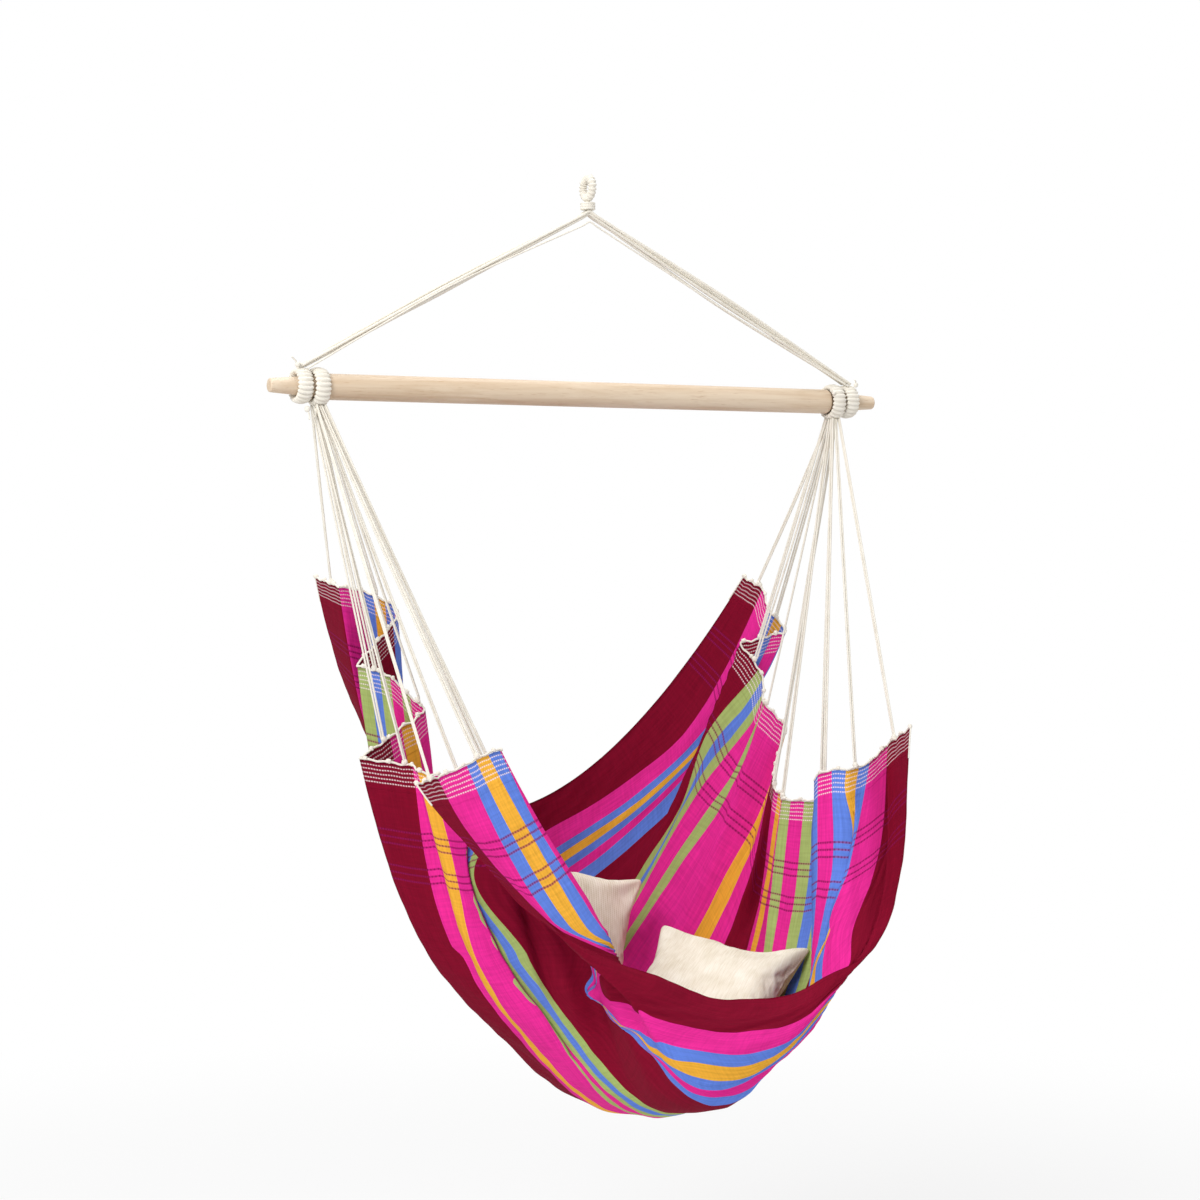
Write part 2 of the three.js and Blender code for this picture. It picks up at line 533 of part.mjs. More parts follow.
// cushions: crowned, with drawn-in sides and a thin seam
function cushionGeometry(side, height) {
  const n = 14;
  const points = [];
  const faces = [];
  for (const sign of [1, -1]) {
    for (let i = 0; i <= n; i += 1) {
      for (let j = 0; j <= n; j += 1) {
        const a = -Math.cos((Math.PI * i) / n);
        const b = -Math.cos((Math.PI * j) / n);
        const crown = ((1 - a * a) * (1 - b * b)) ** 0.42;
        points.push(new THREE.Vector3(
          half(side) * a * (1 - cushionDrawIn * (1 - b * b)),
          half(side) * b * (1 - cushionDrawIn * (1 - a * a)),
          sign * (half(cushionSeam) + (half(height) - half(cushionSeam)) * crown),
        ));
      }
    }
  }
  const id = (i, j, back) => back * (n + 1) ** 2 + i * (n + 1) + j;
  const rim = [];
  for (let i = 0; i < n; i += 1) {
    for (let j = 0; j < n; j += 1) {
      faces.push([id(i, j, 0), id(i + 1, j, 0), id(i + 1, j + 1, 0)], [id(i, j, 0), id(i + 1, j + 1, 0), id(i, j + 1, 0)]);
      faces.push([id(i, j, 1), id(i + 1, j + 1, 1), id(i + 1, j, 1)], [id(i, j, 1), id(i, j + 1, 1), id(i + 1, j + 1, 1)]);
    }
    rim.push([i, 0]);
  }
  for (let j = 0; j < n; j += 1) rim.push([n, j]);
  for (let i = n; i > 0; i -= 1) rim.push([i, n]);
  for (let j = n; j > 0; j -= 1) rim.push([0, j]);
  rim.forEach(([i, j], k) => {
    const [p, q] = rim[(k + 1) % rim.length];
    faces.push([id(i, j, 0), id(i, j, 1), id(p, q, 1)], [id(i, j, 0), id(p, q, 1), id(p, q, 0)]);
  });
  return fromPoints(points, faces);
}

// the cloth's inner side, which the cushions lie on
const floor = clothFaces.slice(0, (rows - 1) * (columns - 1) * 4)
  .filter((face) => face.every((k) => k < rows * columns))
  .map((face) => face.map((k) => clothPoints[k]));

// where each cushion lies: shares of reach, depth and drop, then the way its top edge and its side run
const cushionPlaces = [
  { name: 'cushion_back', ...backCushion, centreShares: [-0.03, 0.24, -0.8], edge: [-0.95, 0.0, 0.30], down: [-0.2, -0.42, -0.88] },
  { name: 'cushion_front', ...frontCushion, centreShares: [0.26, -0.36, -0.84], edge: [0.66, -0.745, -0.07], down: [-0.694, -0.515, -0.495] },
];
for (const place of cushionPlaces) {
  const cushion = addMesh(place.name, cushionGeometry(place.side, place.height), mat.pillow);
  const edge = new THREE.Vector3(...place.edge).normalize();
  const down = new THREE.Vector3(...place.down);
  down.addScaledVector(edge, -down.dot(edge)).normalize();
  const face = edge.clone().cross(down);
  if (face.dot(top) < 0) {
    face.negate();
    edge.negate();
  }
  cushion.quaternion.setFromRotationMatrix(new THREE.Matrix4().makeBasis(edge, down, face));
  const [x, y, z] = place.centreShares;
  cushion.position.set(x * hemReach, y * seatDepth, -barDrop + z * seatDrop);
  const solid = trianglesOf(cushion);
  const below = heightAbove(solid.points, floor);
  cushion.position.z -= below - 2 * clear;
  console.log(place.name, 'lowered', (below - 2 * clear).toFixed(1));
}

export default group;
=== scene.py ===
import math
import bpy
import numpy as np
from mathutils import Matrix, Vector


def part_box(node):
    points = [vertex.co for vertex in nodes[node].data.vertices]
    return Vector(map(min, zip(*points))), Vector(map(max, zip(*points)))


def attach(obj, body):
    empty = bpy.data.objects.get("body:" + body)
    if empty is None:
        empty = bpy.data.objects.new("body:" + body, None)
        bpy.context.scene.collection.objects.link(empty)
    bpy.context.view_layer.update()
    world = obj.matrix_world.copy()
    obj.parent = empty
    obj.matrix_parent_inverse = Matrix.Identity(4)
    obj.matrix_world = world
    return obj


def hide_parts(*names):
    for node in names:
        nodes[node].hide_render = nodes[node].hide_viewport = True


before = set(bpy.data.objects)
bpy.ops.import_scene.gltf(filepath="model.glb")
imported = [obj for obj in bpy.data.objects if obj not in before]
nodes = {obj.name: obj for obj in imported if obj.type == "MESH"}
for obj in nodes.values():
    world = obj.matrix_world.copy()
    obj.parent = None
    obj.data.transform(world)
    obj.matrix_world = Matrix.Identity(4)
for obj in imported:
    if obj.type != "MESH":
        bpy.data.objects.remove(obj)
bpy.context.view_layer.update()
print("frame loaded")

# camera at the photograph's place in metres, its turn and tilt in degrees, its lens and sensor in millimetres
camera = {"place": (-1.8714, -3.6179, -0.5512), "yaw": 27.61, "down": 1.089, "lens": 81, "sensor": 36}
cameraData = bpy.data.cameras.new("camera")
cameraData.lens = camera["lens"]
cameraData.sensor_width = camera["sensor"]
cameraObject = bpy.data.objects.new("camera", cameraData)
cameraObject.location = camera["place"]
cameraObject.rotation_euler = (math.radians(90 - camera["down"]), 0, math.radians(-camera["yaw"]))
bpy.context.scene.collection.objects.link(cameraObject)
bpy.context.scene.camera = cameraObject
bpy.context.scene.view_settings.view_transform = "Standard"
print("camera set")


# the red, green and blue of an sRGB hex value in linear light: a straight foot, then a power of 2.4
def linear(hexText):
    c = np.array([int(hexText[i:i + 2], 16) for i in (1, 3, 5)]) / 255
    c = np.where(c <= 0.04045, c / 12.92, ((c + 0.055) / 1.055) ** 2.4)
    return (*c.tolist(), 1.0)


# gives a node its inputs: a socket is linked, so is the first output in use of a node, and any other value is set
def feed(tree, node, inputs):
    for key, value in inputs.items():
        if isinstance(value, bpy.types.Node):
            value = next(socket for socket in value.outputs if socket.enabled)
        if isinstance(value, bpy.types.NodeSocket):
            tree.links.new(value, node.inputs[key])
        else:
            node.inputs[key].default_value = value


# one node with its settings and links
def addNode(tree, kind, inputs=None, **settings):
    made = tree.nodes.new(kind)
    for key, value in settings.items():
        setattr(made, key, value)
    feed(tree, made, inputs or {})
    return made


mixA, mixB = 6, 7  # the two colour inputs of a Mix node with data_type RGBA


# puts stops on a colour ramp, which starts with two of its own
def setStops(ramp, stops):
    for k, (position, colour) in enumerate(stops):
        element = ramp.elements[k] if k < 2 else ramp.elements.new(position)
        element.position = position
        element.color = colour


# a new material, its node tree and its shader
def newMaterial(name):
    material = bpy.data.materials.new(name)
    material.use_nodes = True
    tree = material.node_tree
    return material, tree, tree.nodes["Principled BSDF"]


# the slope of the values at each knot, that of the line which joins the knots beside it; knots run along the last axis
def slopesOf(knots, values):
    before = np.maximum(np.arange(len(knots)) - 1, 0)
    after = np.minimum(np.arange(len(knots)) + 1, len(knots) - 1)
    return (values[..., after] - values[..., before]) / (knots[after] - knots[before])


# for each place the knot before it, the width of the gap after that knot, and the share of the gap that lies behind
def gapsOf(knots, at):
    k = np.clip(np.searchsorted(knots, at, side="right") - 1, 0, len(knots) - 2)
    width = knots[k + 1] - knots[k]
    return k, width, (at - knots[k]) / width


# the cubic over one gap that has the given values and slopes at its two ends
def cubic(valueOne, valueTwo, slopeOne, slopeTwo, width, t):
    return (valueOne * (2 * t ** 3 - 3 * t ** 2 + 1) + valueTwo * (3 * t ** 2 - 2 * t ** 3)
            + width * (slopeOne * (t ** 3 - 2 * t ** 2 + t) + slopeTwo * (t ** 3 - t ** 2)))


# rows of values between knots, on a cubic in each gap
def smoothRows(knots, values, at):
    knots, values, at = (np.asarray(given, float) for given in (knots, values, at))
    slopes = slopesOf(knots, values.T).T
    k, width, t = gapsOf(knots, at)
    return cubic(values[k], values[k + 1], slopes[k], slopes[k + 1], width[..., None], t[..., None])


# rows of values between knots, on straight lines
def straightRows(knots, values, at):
    return np.stack([np.interp(at, knots, values[:, i]) for i in range(values.shape[1])], axis=-1)


# vectors of length one: each divided by its length
def unit(v):
    return v / np.maximum(np.linalg.norm(v, axis=-1, keepdims=True), 1e-12)


# how far along a line each of its points lies: the running sum of the distances between them
def runOf(points):
    return np.concatenate([[0], np.cumsum(np.linalg.norm(np.diff(points, axis=0), axis=1))])


# a smooth line through the points in even steps: a cubic over the distance, drawn finely and cut into equal lengths
def smoothPath(points, step, finePerPoint=40):
    points = np.asarray(points, float)
    run = runOf(points)
    fine = smoothRows(run, points, np.linspace(0, run[-1], finePerPoint * len(points)))
    length = runOf(fine)
    count = max(4, int(round(length[-1] / step)) + 1)
    return straightRows(length, fine, np.linspace(0, length[-1], count))


# the places of a mesh's vertices, a row for each
def coordsOf(mesh):
    co = np.empty(len(mesh.vertices) * 3)
    mesh.vertices.foreach_get("co", co)
    return co.reshape(-1, 3)


# the same for the mesh of a CAD node
def vertsOf(name):
    return coordsOf(nodes[name].data)


# the middles of the two flat ends of a CAD cord, first the one furthest along the direction: the mean of the vertices
# within reach of the end
def endsOf(name, towards, reach=0.0012):
    p = vertsOf(name)
    t = p @ np.asarray(towards, float)
    along = p @ unit(p[t.argmax()] - p[t.argmin()])
    return [p[along > along.max() - reach].mean(axis=0), p[along < along.min() + reach].mean(axis=0)]


# faces of a grid of points: each joins a point, the one in the next row, the one beyond that and the one in the next
# column, and either way the last can wrap round to the first
def gridFaces(rows, columns, first=0, wrapRows=False, wrapColumns=False):
    i = np.arange(rows if wrapRows else rows - 1)[:, None]
    j = np.arange(columns if wrapColumns else columns - 1)[None, :]
    nextI = (i + 1) % rows
    nextJ = (j + 1) % columns
    corners = (i * columns + j, nextI * columns + j, nextI * columns + nextJ, i * columns + nextJ)
    return np.stack(np.broadcast_arrays(*corners), -1).reshape(-1, 4) + first


# turns the faces of a closed mesh outwards, so that its volume, the triangles' triple products over six, is positive
def faceOutwards(mesh):
    mesh.update()
    mesh.calc_loop_triangles()
    corners = np.empty(len(mesh.loop_triangles) * 3, np.int32)
    mesh.loop_triangles.foreach_get("vertices", corners)
    p = coordsOf(mesh)[corners.reshape(-1, 3)]
    if np.einsum("ij,ij->i", p[:, 0], np.cross(p[:, 1], p[:, 2])).sum() / 6 < 0:
        mesh.flip_normals()


# a piece of one or more tubes, each a grid of points that wraps round along its columns; its rows wrap too, or its two
# ends are closed by a fan on their middle point
def addPiece(name, grids, material, body, wrapRows=False):
    points = []
    faces = []
    first = 0
    for grid in grids:
        rows, columns = grid.shape[:2]
        faces += gridFaces(rows, columns, first, wrapRows, True).tolist()
        points.append(grid.reshape(-1, 3))
        middle = first + rows * columns
        if not wrapRows:
            points.append(grid[[0, -1]].mean(axis=1))
            j = np.arange(columns)
            nextJ = (j + 1) % columns
            last = middle - columns
            faces += np.stack([np.full(columns, middle), first + j, first + nextJ], -1).tolist()
            faces += np.stack([np.full(columns, middle + 1), last + nextJ, last + j], -1).tolist()
        first = middle + (0 if wrapRows else 2)
    mesh = bpy.data.meshes.new(name)
    mesh.from_pydata(np.concatenate(points).tolist(), [], faces)
    faceOutwards(mesh)
    mesh.shade_smooth()
    mesh.materials.append(material)
    piece = bpy.data.objects.new(name, mesh)
    bpy.context.scene.collection.objects.link(piece)
    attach(piece, body)
    return piece


# a closed mesh of two skins on one grid, upper and lower, with a wall of one face's height round their rim
def twoSkins(name, upper, lower):
    rows, columns = upper.shape[:2]
    count = rows * columns
    faces = gridFaces(rows, columns)
    around = np.concatenate([
        np.arange(0, columns - 1), np.arange(columns - 1, count - 1, columns),
        np.arange(count - 1, count - columns, -1), np.arange(count - columns, 0, -columns),
    ])
    nextAround = np.roll(around, -1)
    wall = np.stack([around, around + count, nextAround + count, nextAround], -1)
    mesh = bpy.data.meshes.new(name)
    points = np.concatenate([upper.reshape(-1, 3), lower.reshape(-1, 3)])
    mesh.from_pydata(points.tolist(), [], np.concatenate([faces, faces[:, ::-1] + count, wall]).tolist())
    faceOutwards(mesh)
    return mesh


# a UV layer that gives every corner of a face its vertex's place on the flat cloth, in metres
def layFlat(mesh, name, places):
    corners = np.empty(len(mesh.loops), np.int32)
    mesh.loops.foreach_get("vertex_index", corners)
    mesh.uv_layers.new(name=name).data.foreach_set("uv", places[corners].ravel().astype(np.float32))


# a laid rope: each ring is a circle with one soft lobe for each strand, square to the path and turned once round in
# each pitch; towards is a direction that the path never runs along
def ropeGrid(path, dia, pitch, strands=3, depth=0.2, around=12, towards=(0, 1, 0), turn=0.0):
    along = unit(np.gradient(path, axis=0))
    side = unit(np.cross(along, np.broadcast_to(np.asarray(towards, float), along.shape)))
    up = np.cross(along, side)
    angle = np.linspace(0, 2 * np.pi, around, endpoint=False)[None, :]
    lobe = np.abs(np.cos(strands / 2 * (angle - 2 * np.pi * runOf(path)[:, None] / pitch - turn))) ** 0.7
    radius = (dia / 2 * (1 - depth + depth * lobe))[..., None]
    ring = np.cos(angle)[..., None] * side[:, None] + np.sin(angle)[..., None] * up[:, None]
    return path[:, None, :] + radius * ring


# materials: each pattern has the size in metres of what makes it, and each bump its strength and its height in metres

# twisted cotton cord, unbleached: matt and fibrous, with slow paler and darker patches; its fibres are drawn as coarse as
# they need to be to show
cordLook = {
    "pale": "#f1ede4", "shade": "#dad3c5", "patch": 0.022, "fibre": 0.0009,
    "roughness": 0.9, "shine": 0.2, "bump": (0.15, 0.0005),
}
cordMaterial, tree, shader = newMaterial("unbleachedCottonCord")
place = addNode(tree, "ShaderNodeTexCoord").outputs["Object"]
patches = addNode(tree, "ShaderNodeTexNoise", {
    "Vector": place, "Scale": 1 / cordLook["patch"], "Detail": 3.0, "Roughness": 0.6,
})
fibres = addNode(tree, "ShaderNodeTexNoise", {"Vector": place, "Scale": 1 / cordLook["fibre"], "Detail": 2.0})
tint = addNode(tree, "ShaderNodeMix", {
    "Factor": patches, mixA: linear(cordLook["shade"]), mixB: linear(cordLook["pale"]),
}, data_type="RGBA")
strength, distance = cordLook["bump"]
bump = addNode(tree, "ShaderNodeBump", {"Height": fibres, "Strength": strength, "Distance": distance})
feed(tree, shader, {
    "Base Color": tint, "Roughness": cordLook["roughness"], "Specular IOR Level": cordLook["shine"], "Normal": bump,
})

# beech, turned and sanded: pale pinkish brown with short dark flecks along the grain, which runs along the bar
woodLook = {
    "pale": "#dac7af", "brown": "#c6ac8e", "fleck": "#a8805a", "grain": 0.012, "fleckWidth": 0.0013, "stretch": 0.06,
    "brownTo": 0.32, "paleFrom": 0.62, "flecksFrom": 0.66, "flecksTo": 0.74, "fleckShare": 0.45,
    "roughness": 0.5, "bump": (0.12, 0.0005),
}
woodMaterial, tree, shader = newMaterial("turnedBeech")
place = addNode(tree, "ShaderNodeTexCoord").outputs["Object"]
lengthwise = addNode(tree, "ShaderNodeMapping", {"Vector": place, "Scale": (woodLook["stretch"], 1.0, 1.0)})
grain = addNode(tree, "ShaderNodeTexNoise", {
    "Vector": lengthwise, "Scale": 1 / woodLook["grain"], "Detail": 5.0, "Roughness": 0.62, "Distortion": 0.6,
})
tone = addNode(tree, "ShaderNodeValToRGB", {"Fac": grain})
stops = [(woodLook["brownTo"], linear(woodLook["brown"])), (woodLook["paleFrom"], linear(woodLook["pale"]))]
setStops(tone.color_ramp, stops)
flecks = addNode(tree, "ShaderNodeTexNoise", {"Vector": lengthwise, "Scale": 1 / woodLook["fleckWidth"], "Detail": 1.0})
fleckMask = addNode(tree, "ShaderNodeMapRange", {
    "Value": flecks, "From Min": woodLook["flecksFrom"], "From Max": woodLook["flecksTo"],
    "To Max": woodLook["fleckShare"],
})
stained = addNode(tree, "ShaderNodeMix", {
    "Factor": fleckMask, mixA: tone, mixB: linear(woodLook["fleck"]),
}, data_type="RGBA")
strength, distance = woodLook["bump"]
bump = addNode(tree, "ShaderNodeBump", {"Height": grain, "Strength": strength, "Distance": distance})
feed(tree, shader, {"Base Color": stained, "Roughness": woodLook["roughness"], "Normal": bump})
print("cord and wood materials made")


# bridle cords, from one outer eye over the throat to the other: straight to a knee on each side of the throat, over it
# in a tight bend, and straying a little halfway down each leg
bridle = {
    "dia": 0.0044, "looseDia": 0.0026, "pitch": 0.0095, "lobes": 0.07, "step": 0.0011, "bend": 0.0115, "sink": 0.0002,
    # how far each cord strays from the straight line halfway down its left and right legs: across and up
    "strayLeft": [
        (0.001, 0.003), (-0.002, -0.003), (0.002, 0.0055), (-0.001, -0.0055),
        (0.001, 0.0005), (0.0, 0.004), (-0.002, -0.001), (0.004, 0.012),
    ],
    "strayRight": [
        (-0.001, 0.0055), (0.002, -0.005), (-0.002, 0.0025), (0.001, 0.009),
        (0.0, -0.0015), (0.001, -0.008), (0.002, 0.0045), (0.0, -0.003),
    ],
    "near": {"height": 0.0004, "across": 0.004},  # how near its top the vertices lie that give the top's place
}


# a bridle cord's line: its ends, quarter points that stray by a sine of their share of the leg, knees and top
def bridlePath(name, dia, k):
    right, left = endsOf(name, (1, 0, 0))
    p = vertsOf(name)
    top = p[p[:, 2] > p[:, 2].max() - bridle["near"]["height"]].mean(axis=0)
    top[2] -= dia / 2
    top[1] = p[np.abs(p[:, 0] - top[0]) < bridle["near"]["across"]][:, 1].mean()
    legs = []
    for end, stray in ((left, bridle["strayLeft"][k]), (right, bridle["strayRight"][k])):
        knee = top + unit(end - top) * bridle["bend"] - np.array([0, 0, bridle["sink"]])
        straying = [(share, np.array([0, *stray]) * math.sin(math.pi * share) ** 1.5) for share in (0.25, 0.5, 0.75)]
        legs.append([end] + [end + (knee - end) * share + move for share, move in straying] + [knee])
    return smoothPath(legs[0] + [top] + legs[1][::-1], bridle["step"])


for k, name in enumerate([f"bridle_cord_{i + 1}" for i in range(7)] + ["bridle_cord_loose"]):
    dia = bridle["looseDia"] if name.endswith("loose") else bridle["dia"]
    path = bridlePath(name, dia, k)
    rope = ropeGrid(path, dia, bridle["pitch"], depth=bridle["lobes"], towards=(0, 1, 0), turn=k * 0.7)
    piece = addPiece("bridleStrand" + name[12:].title(), [rope], cordMaterial, "bridle")
    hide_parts(name)
print("bridle cords made")

# clew cords: each is one cord laid double, from an inner eye to the hem; the two strands stand further apart halfway,
# each pair by its own amount, and turn round the line by their own angle
clew = {
    "dia": 0.0031, "apart": 0.0034, "pitch": 0.0085, "lobes": 0.07, "step": 0.0011,
    "slack": 0.002, "bulge": 0.5, "bulgeTurn": 2.3, "pairTurn": 1.7,
}
for sideName in ("left", "right"):
    for k in range(12):
        name = f"clew_cord_{sideName}_{k + 1}"
        top, foot = endsOf(name, (0, 0, 1))
        middle = (top + foot) / 2 + np.array([0, 0, -clew["slack"] * (k % 3)])
        path = smoothPath([top, middle, foot], clew["step"])
        pairTurn = k * clew["pairTurn"]
        across = unit(np.cross(foot - top, (math.cos(pairTurn), math.sin(pairTurn), 0.1)))
        halfway = np.sin(np.pi * np.linspace(0, 1, len(path)))
        spread = 0.5 * clew["apart"] * (1 + clew["bulge"] * halfway * (0.5 + 0.5 * math.cos(k * clew["bulgeTurn"])))
        lines = [path + way * spread[:, None] * across for way in (-1, 1)]
        strands = [ropeGrid(line, clew["dia"], clew["pitch"], depth=clew["lobes"], around=9, turn=k) for line in lines]
        piece = addPiece(f"clewCord{sideName.title()}{k + 1}", strands, cordMaterial, "sling")
        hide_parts(name)
print("clew cords made")

# cloth: its sizes in metres, and how it hangs; reach, depth and drop are what the tables' shares are shares of
cloth = {
    "width": 1.208, "length": 1.31, "reach": 0.4, "depth": 0.4, "drop": 1.08, "barHeight": -0.319, "thickness": 0.0012,
    "edgeCells": 22, "acrossCells": 162, "alongCells": 238,
    # how slack the chains' curves are in the middle of the width, and how much more at the selvedges
    "slack": 0.30, "edgeSlack": 0.16,
    # the right front edge hangs more steeply: how much of this other curve it takes, its slack and its power
    "steep": {"share": 0.55, "slack": 0.2, "power": 2.3},
    # how far from the middle a hem's folds are at their full depth, as a share of the way to the hem: at the left it
    # grows from one share to the whole way, beginning at a place across the width and ending a stretch further on
    "foldsLeft": {"from": 0.7, "across": 0.27, "over": 0.13}, "foldsRight": 0.95,
    # the front selvedge stands out as a lip: shares of reach, depth and drop, how wide it is across the cloth, how it
    # leans to the hems, and which way the cloth that slides past it rolls
    "lip": {
        "left": (-0.02, 0.00, 0.042), "right": (0.05, -0.02, 0.028), "width": 0.11, "lean": 1.2,
        "roll": (0.0, -0.8, 0.6),
    },
    # soft wrinkles: height, wave length along and across the warp, and where the wave starts; and how much longer the
    # waves are that cross them, across and along
    "wrinkles": [(0.0016, 0.21, 0.16, 0.4), (0.0011, 0.12, -0.10, 1.9), (0.0006, 0.055, 0.075, 3.1)],
    "crossing": (2.3, 1.7),
}
# each row of a table, in thousandths: share of the cloth's width, then shares of reach, depth and drop
leftHem = [
    (0, -1000, -680, -511), (62, -870, -550, -508), (103, -740, -510, -495), (121, -700, -500, -489),
    (140, -650, -490, -482), (158, -590, -470, -478), (179, -560, -420, -482), (198, -610, -400, -489),
    (231, -560, -350, -500), (264, -500, -290, -510), (283, -510, -250, -514), (300, -560, -270, -516),
    (328, -570, -200, -515), (355, -600, -270, -517), (410, -750, -230, -515), (429, -790, -200, -510),
    (448, -780, -150, -505), (507, -960, -70, -495), (552, -820, -30, -469), (571, -760, 10, -457),
    (590, -700, 30, -449), (618, -640, 70, -435), (645, -700, 70, -417), (661, -740, 70, -402),
    (682, -780, 70, -389), (700, -810, 100, -383), (717, -840, 120, -379), (736, -880, 150, -375),
    (802, -710, 200, -319), (821, -680, 230, -307), (842, -670, 280, -294), (897, -790, 300, -274),
    (938, -910, 250, -267), (1000, -930, 420, -256),
]
rightHem = [
    (0, 1000, -680, -463), (62, 1020, -500, -490), (103, 920, -530, -513), (121, 870, -530, -520),
    (140, 810, -540, -522), (158, 770, -500, -522), (179, 740, -450, -530), (192, 740, -420, -539),
    (245, 910, -400, -556), (300, 840, -280, -574), (355, 770, -140, -575), (410, 860, -10, -576),
    (448, 860, 70, -567), (500, 880, 110, -548), (552, 930, 150, -519), (571, 960, 160, -495),
    (590, 980, 160, -480), (645, 890, 190, -444), (662, 900, 210, -446), (682, 900, 220, -439),
    (700, 910, 230, -428), (717, 920, 250, -409), (736, 910, 270, -393), (770, 860, 330, -356),
    (802, 930, 280, -350), (821, 970, 260, -344), (842, 1030, 250, -341), (860, 1020, 270, -329),
    (879, 1000, 290, -318), (897, 980, 310, -307), (938, 980, 350, -275), (1000, 930, 420, -259),
]
leftSmooth = [
    (0, -1002, -675, -511), (248, -945, -375, -507), (500, -925, -62, -481), (745, -905, 175, -366),
    (1000, -930, 417, -256),
]
rightSmooth = [
    (0, 1002, -675, -463), (248, 963, -412, -544), (500, 925, 113, -546), (745, 912, 287, -381),
    (1000, 930, 417, -259),
]
middleSection = [
    (0, 175, -875, -807), (62, 165, -1000, -854), (103, 155, -1030, -891), (140, 150, -1005, -926),
    (179, 145, -912, -952), (264, 130, -655, -970), (355, 120, -380, -983), (500, 95, 58, -1000),
    (590, 75, 320, -981), (662, 62, 512, -944), (745, 50, 700, -884), (828, 30, 825, -804),
    (911, 13, 887, -714), (1000, 0, 912, -615),
]
# how far the warp has slid along the sheet's form: at each share of the way from the left hem to the right one, the
# places across and the shift at each, both in thousandths of the width
slides = {
    0.0: {},
    0.1: {
        62: -30, 103: -20, 121: -18, 140: -5, 158: -10, 179: 10, 198: 50, 264: 125, 300: 105, 355: 40, 410: 2,
        448: 14, 500: 0
    },
    0.2: {
        62: -20, 103: -35, 121: -30, 140: -18, 158: -10, 179: 25, 198: 32, 264: 93, 300: 82, 355: 29, 410: 13,
        448: 17, 500: 0
    },
    0.215: {
        62: -5, 103: -15, 121: -10, 140: 0, 158: 10, 179: 40, 198: 42, 264: 90, 300: 80, 355: 25, 410: 13, 500: 0
    },
    0.25: {
        62: 165, 103: 172, 121: 156, 140: 138, 158: 121, 179: 101, 198: 83, 264: 72, 300: 68, 355: 16, 410: 12,
        500: 0
    },
    0.28: {
        62: 122, 103: 132, 121: 119, 140: 102, 158: 86, 179: 67, 198: 51, 264: 56, 300: 58, 355: 4, 410: 12, 500: 0
    },
    0.31: {
        62: 62, 103: 85, 121: 69, 140: 51, 158: 34, 179: 14, 198: -3, 264: 41, 300: 44, 355: 0, 410: 11, 500: 0
    },
    0.335: {
        62: 18, 103: 48, 121: 50, 140: 37, 158: 21, 179: 2, 198: -16, 264: 34, 300: 35, 355: -1, 410: 9, 500: 0
    },
    0.36: {
        62: 8, 103: 10, 121: 20, 140: 15, 158: 2, 179: -14, 198: -30, 264: 25, 300: 28, 355: -3, 410: 6, 500: 0
    },
    0.42: {
        62: -8, 103: -18, 121: -18, 140: -15, 158: -13, 179: -24, 198: -35, 264: 3, 355: -3, 500: 0
    },
    0.5: {
        62: -12, 103: -20, 140: -22, 158: -34, 179: -38, 198: -35, 264: -15, 355: 0, 550: 0, 645: 20, 736: 10,
        802: 20, 938: 0
    },
    0.6: {
        62: 4, 103: -10, 121: -18, 140: -25, 158: -35, 198: -30, 264: 0, 552: 0, 590: 20, 645: 60, 700: 45,
        736: 30, 802: 50, 821: 50, 897: 25, 938: 15
    },
    0.66: {
        62: -12, 103: -38, 121: -48, 158: -54, 198: -40, 264: -5, 552: -12, 571: 15, 590: 24, 645: 75, 700: 55,
        736: 33, 802: 53, 821: 52, 897: 22, 938: 8
    },
    0.74: {
        62: 30, 103: 50, 121: 48, 140: 42, 158: 30, 198: 10, 264: 0, 500: 0, 552: -22, 571: 17, 590: 24, 645: 80,
        682: 70, 717: 42, 736: 30, 802: 48, 821: 48, 879: 14, 938: -9
    },
    0.82: {
        62: 65, 103: 64, 121: 55, 140: 40, 158: 20, 198: 0, 500: 0, 552: -25, 571: 13, 590: 20, 645: 66, 682: 68,
        700: 56, 736: 22, 802: 36, 821: 38, 879: 0, 938: -28
    },
    0.9: {
        62: 18, 103: 35, 121: 35, 158: 0, 198: -5, 500: 0, 552: -30, 590: 5, 645: 35, 682: 51, 717: 36, 736: 30,
        802: 10, 879: -10, 938: -22
    },
    1.0: {},
}
# between two knots of the hem cord the hem hangs a little lower, not by the same everywhere
scallops = {"count": 40, "depth": 0.0032, "sharpness": 0.7, "fade": 0.03, "uneven": 17}
# where the cloth doubles back under itself: the covering edge's share across, the width hidden to one side of it, the
# stretch of u with the full fold, how far it fades beyond, and the way under in metres
pleats = [
    {"edge": 0.355, "hidden": -0.055, "u": (0.08, 0.27), "fade": 0.13, "under": (0.006, 0.005, 0.002)},
    {"edge": 0.106, "hidden": 0.055, "u": (0.84, 0.93), "fade": 0.06, "under": (0.001, 0.006, 0.001)},
]
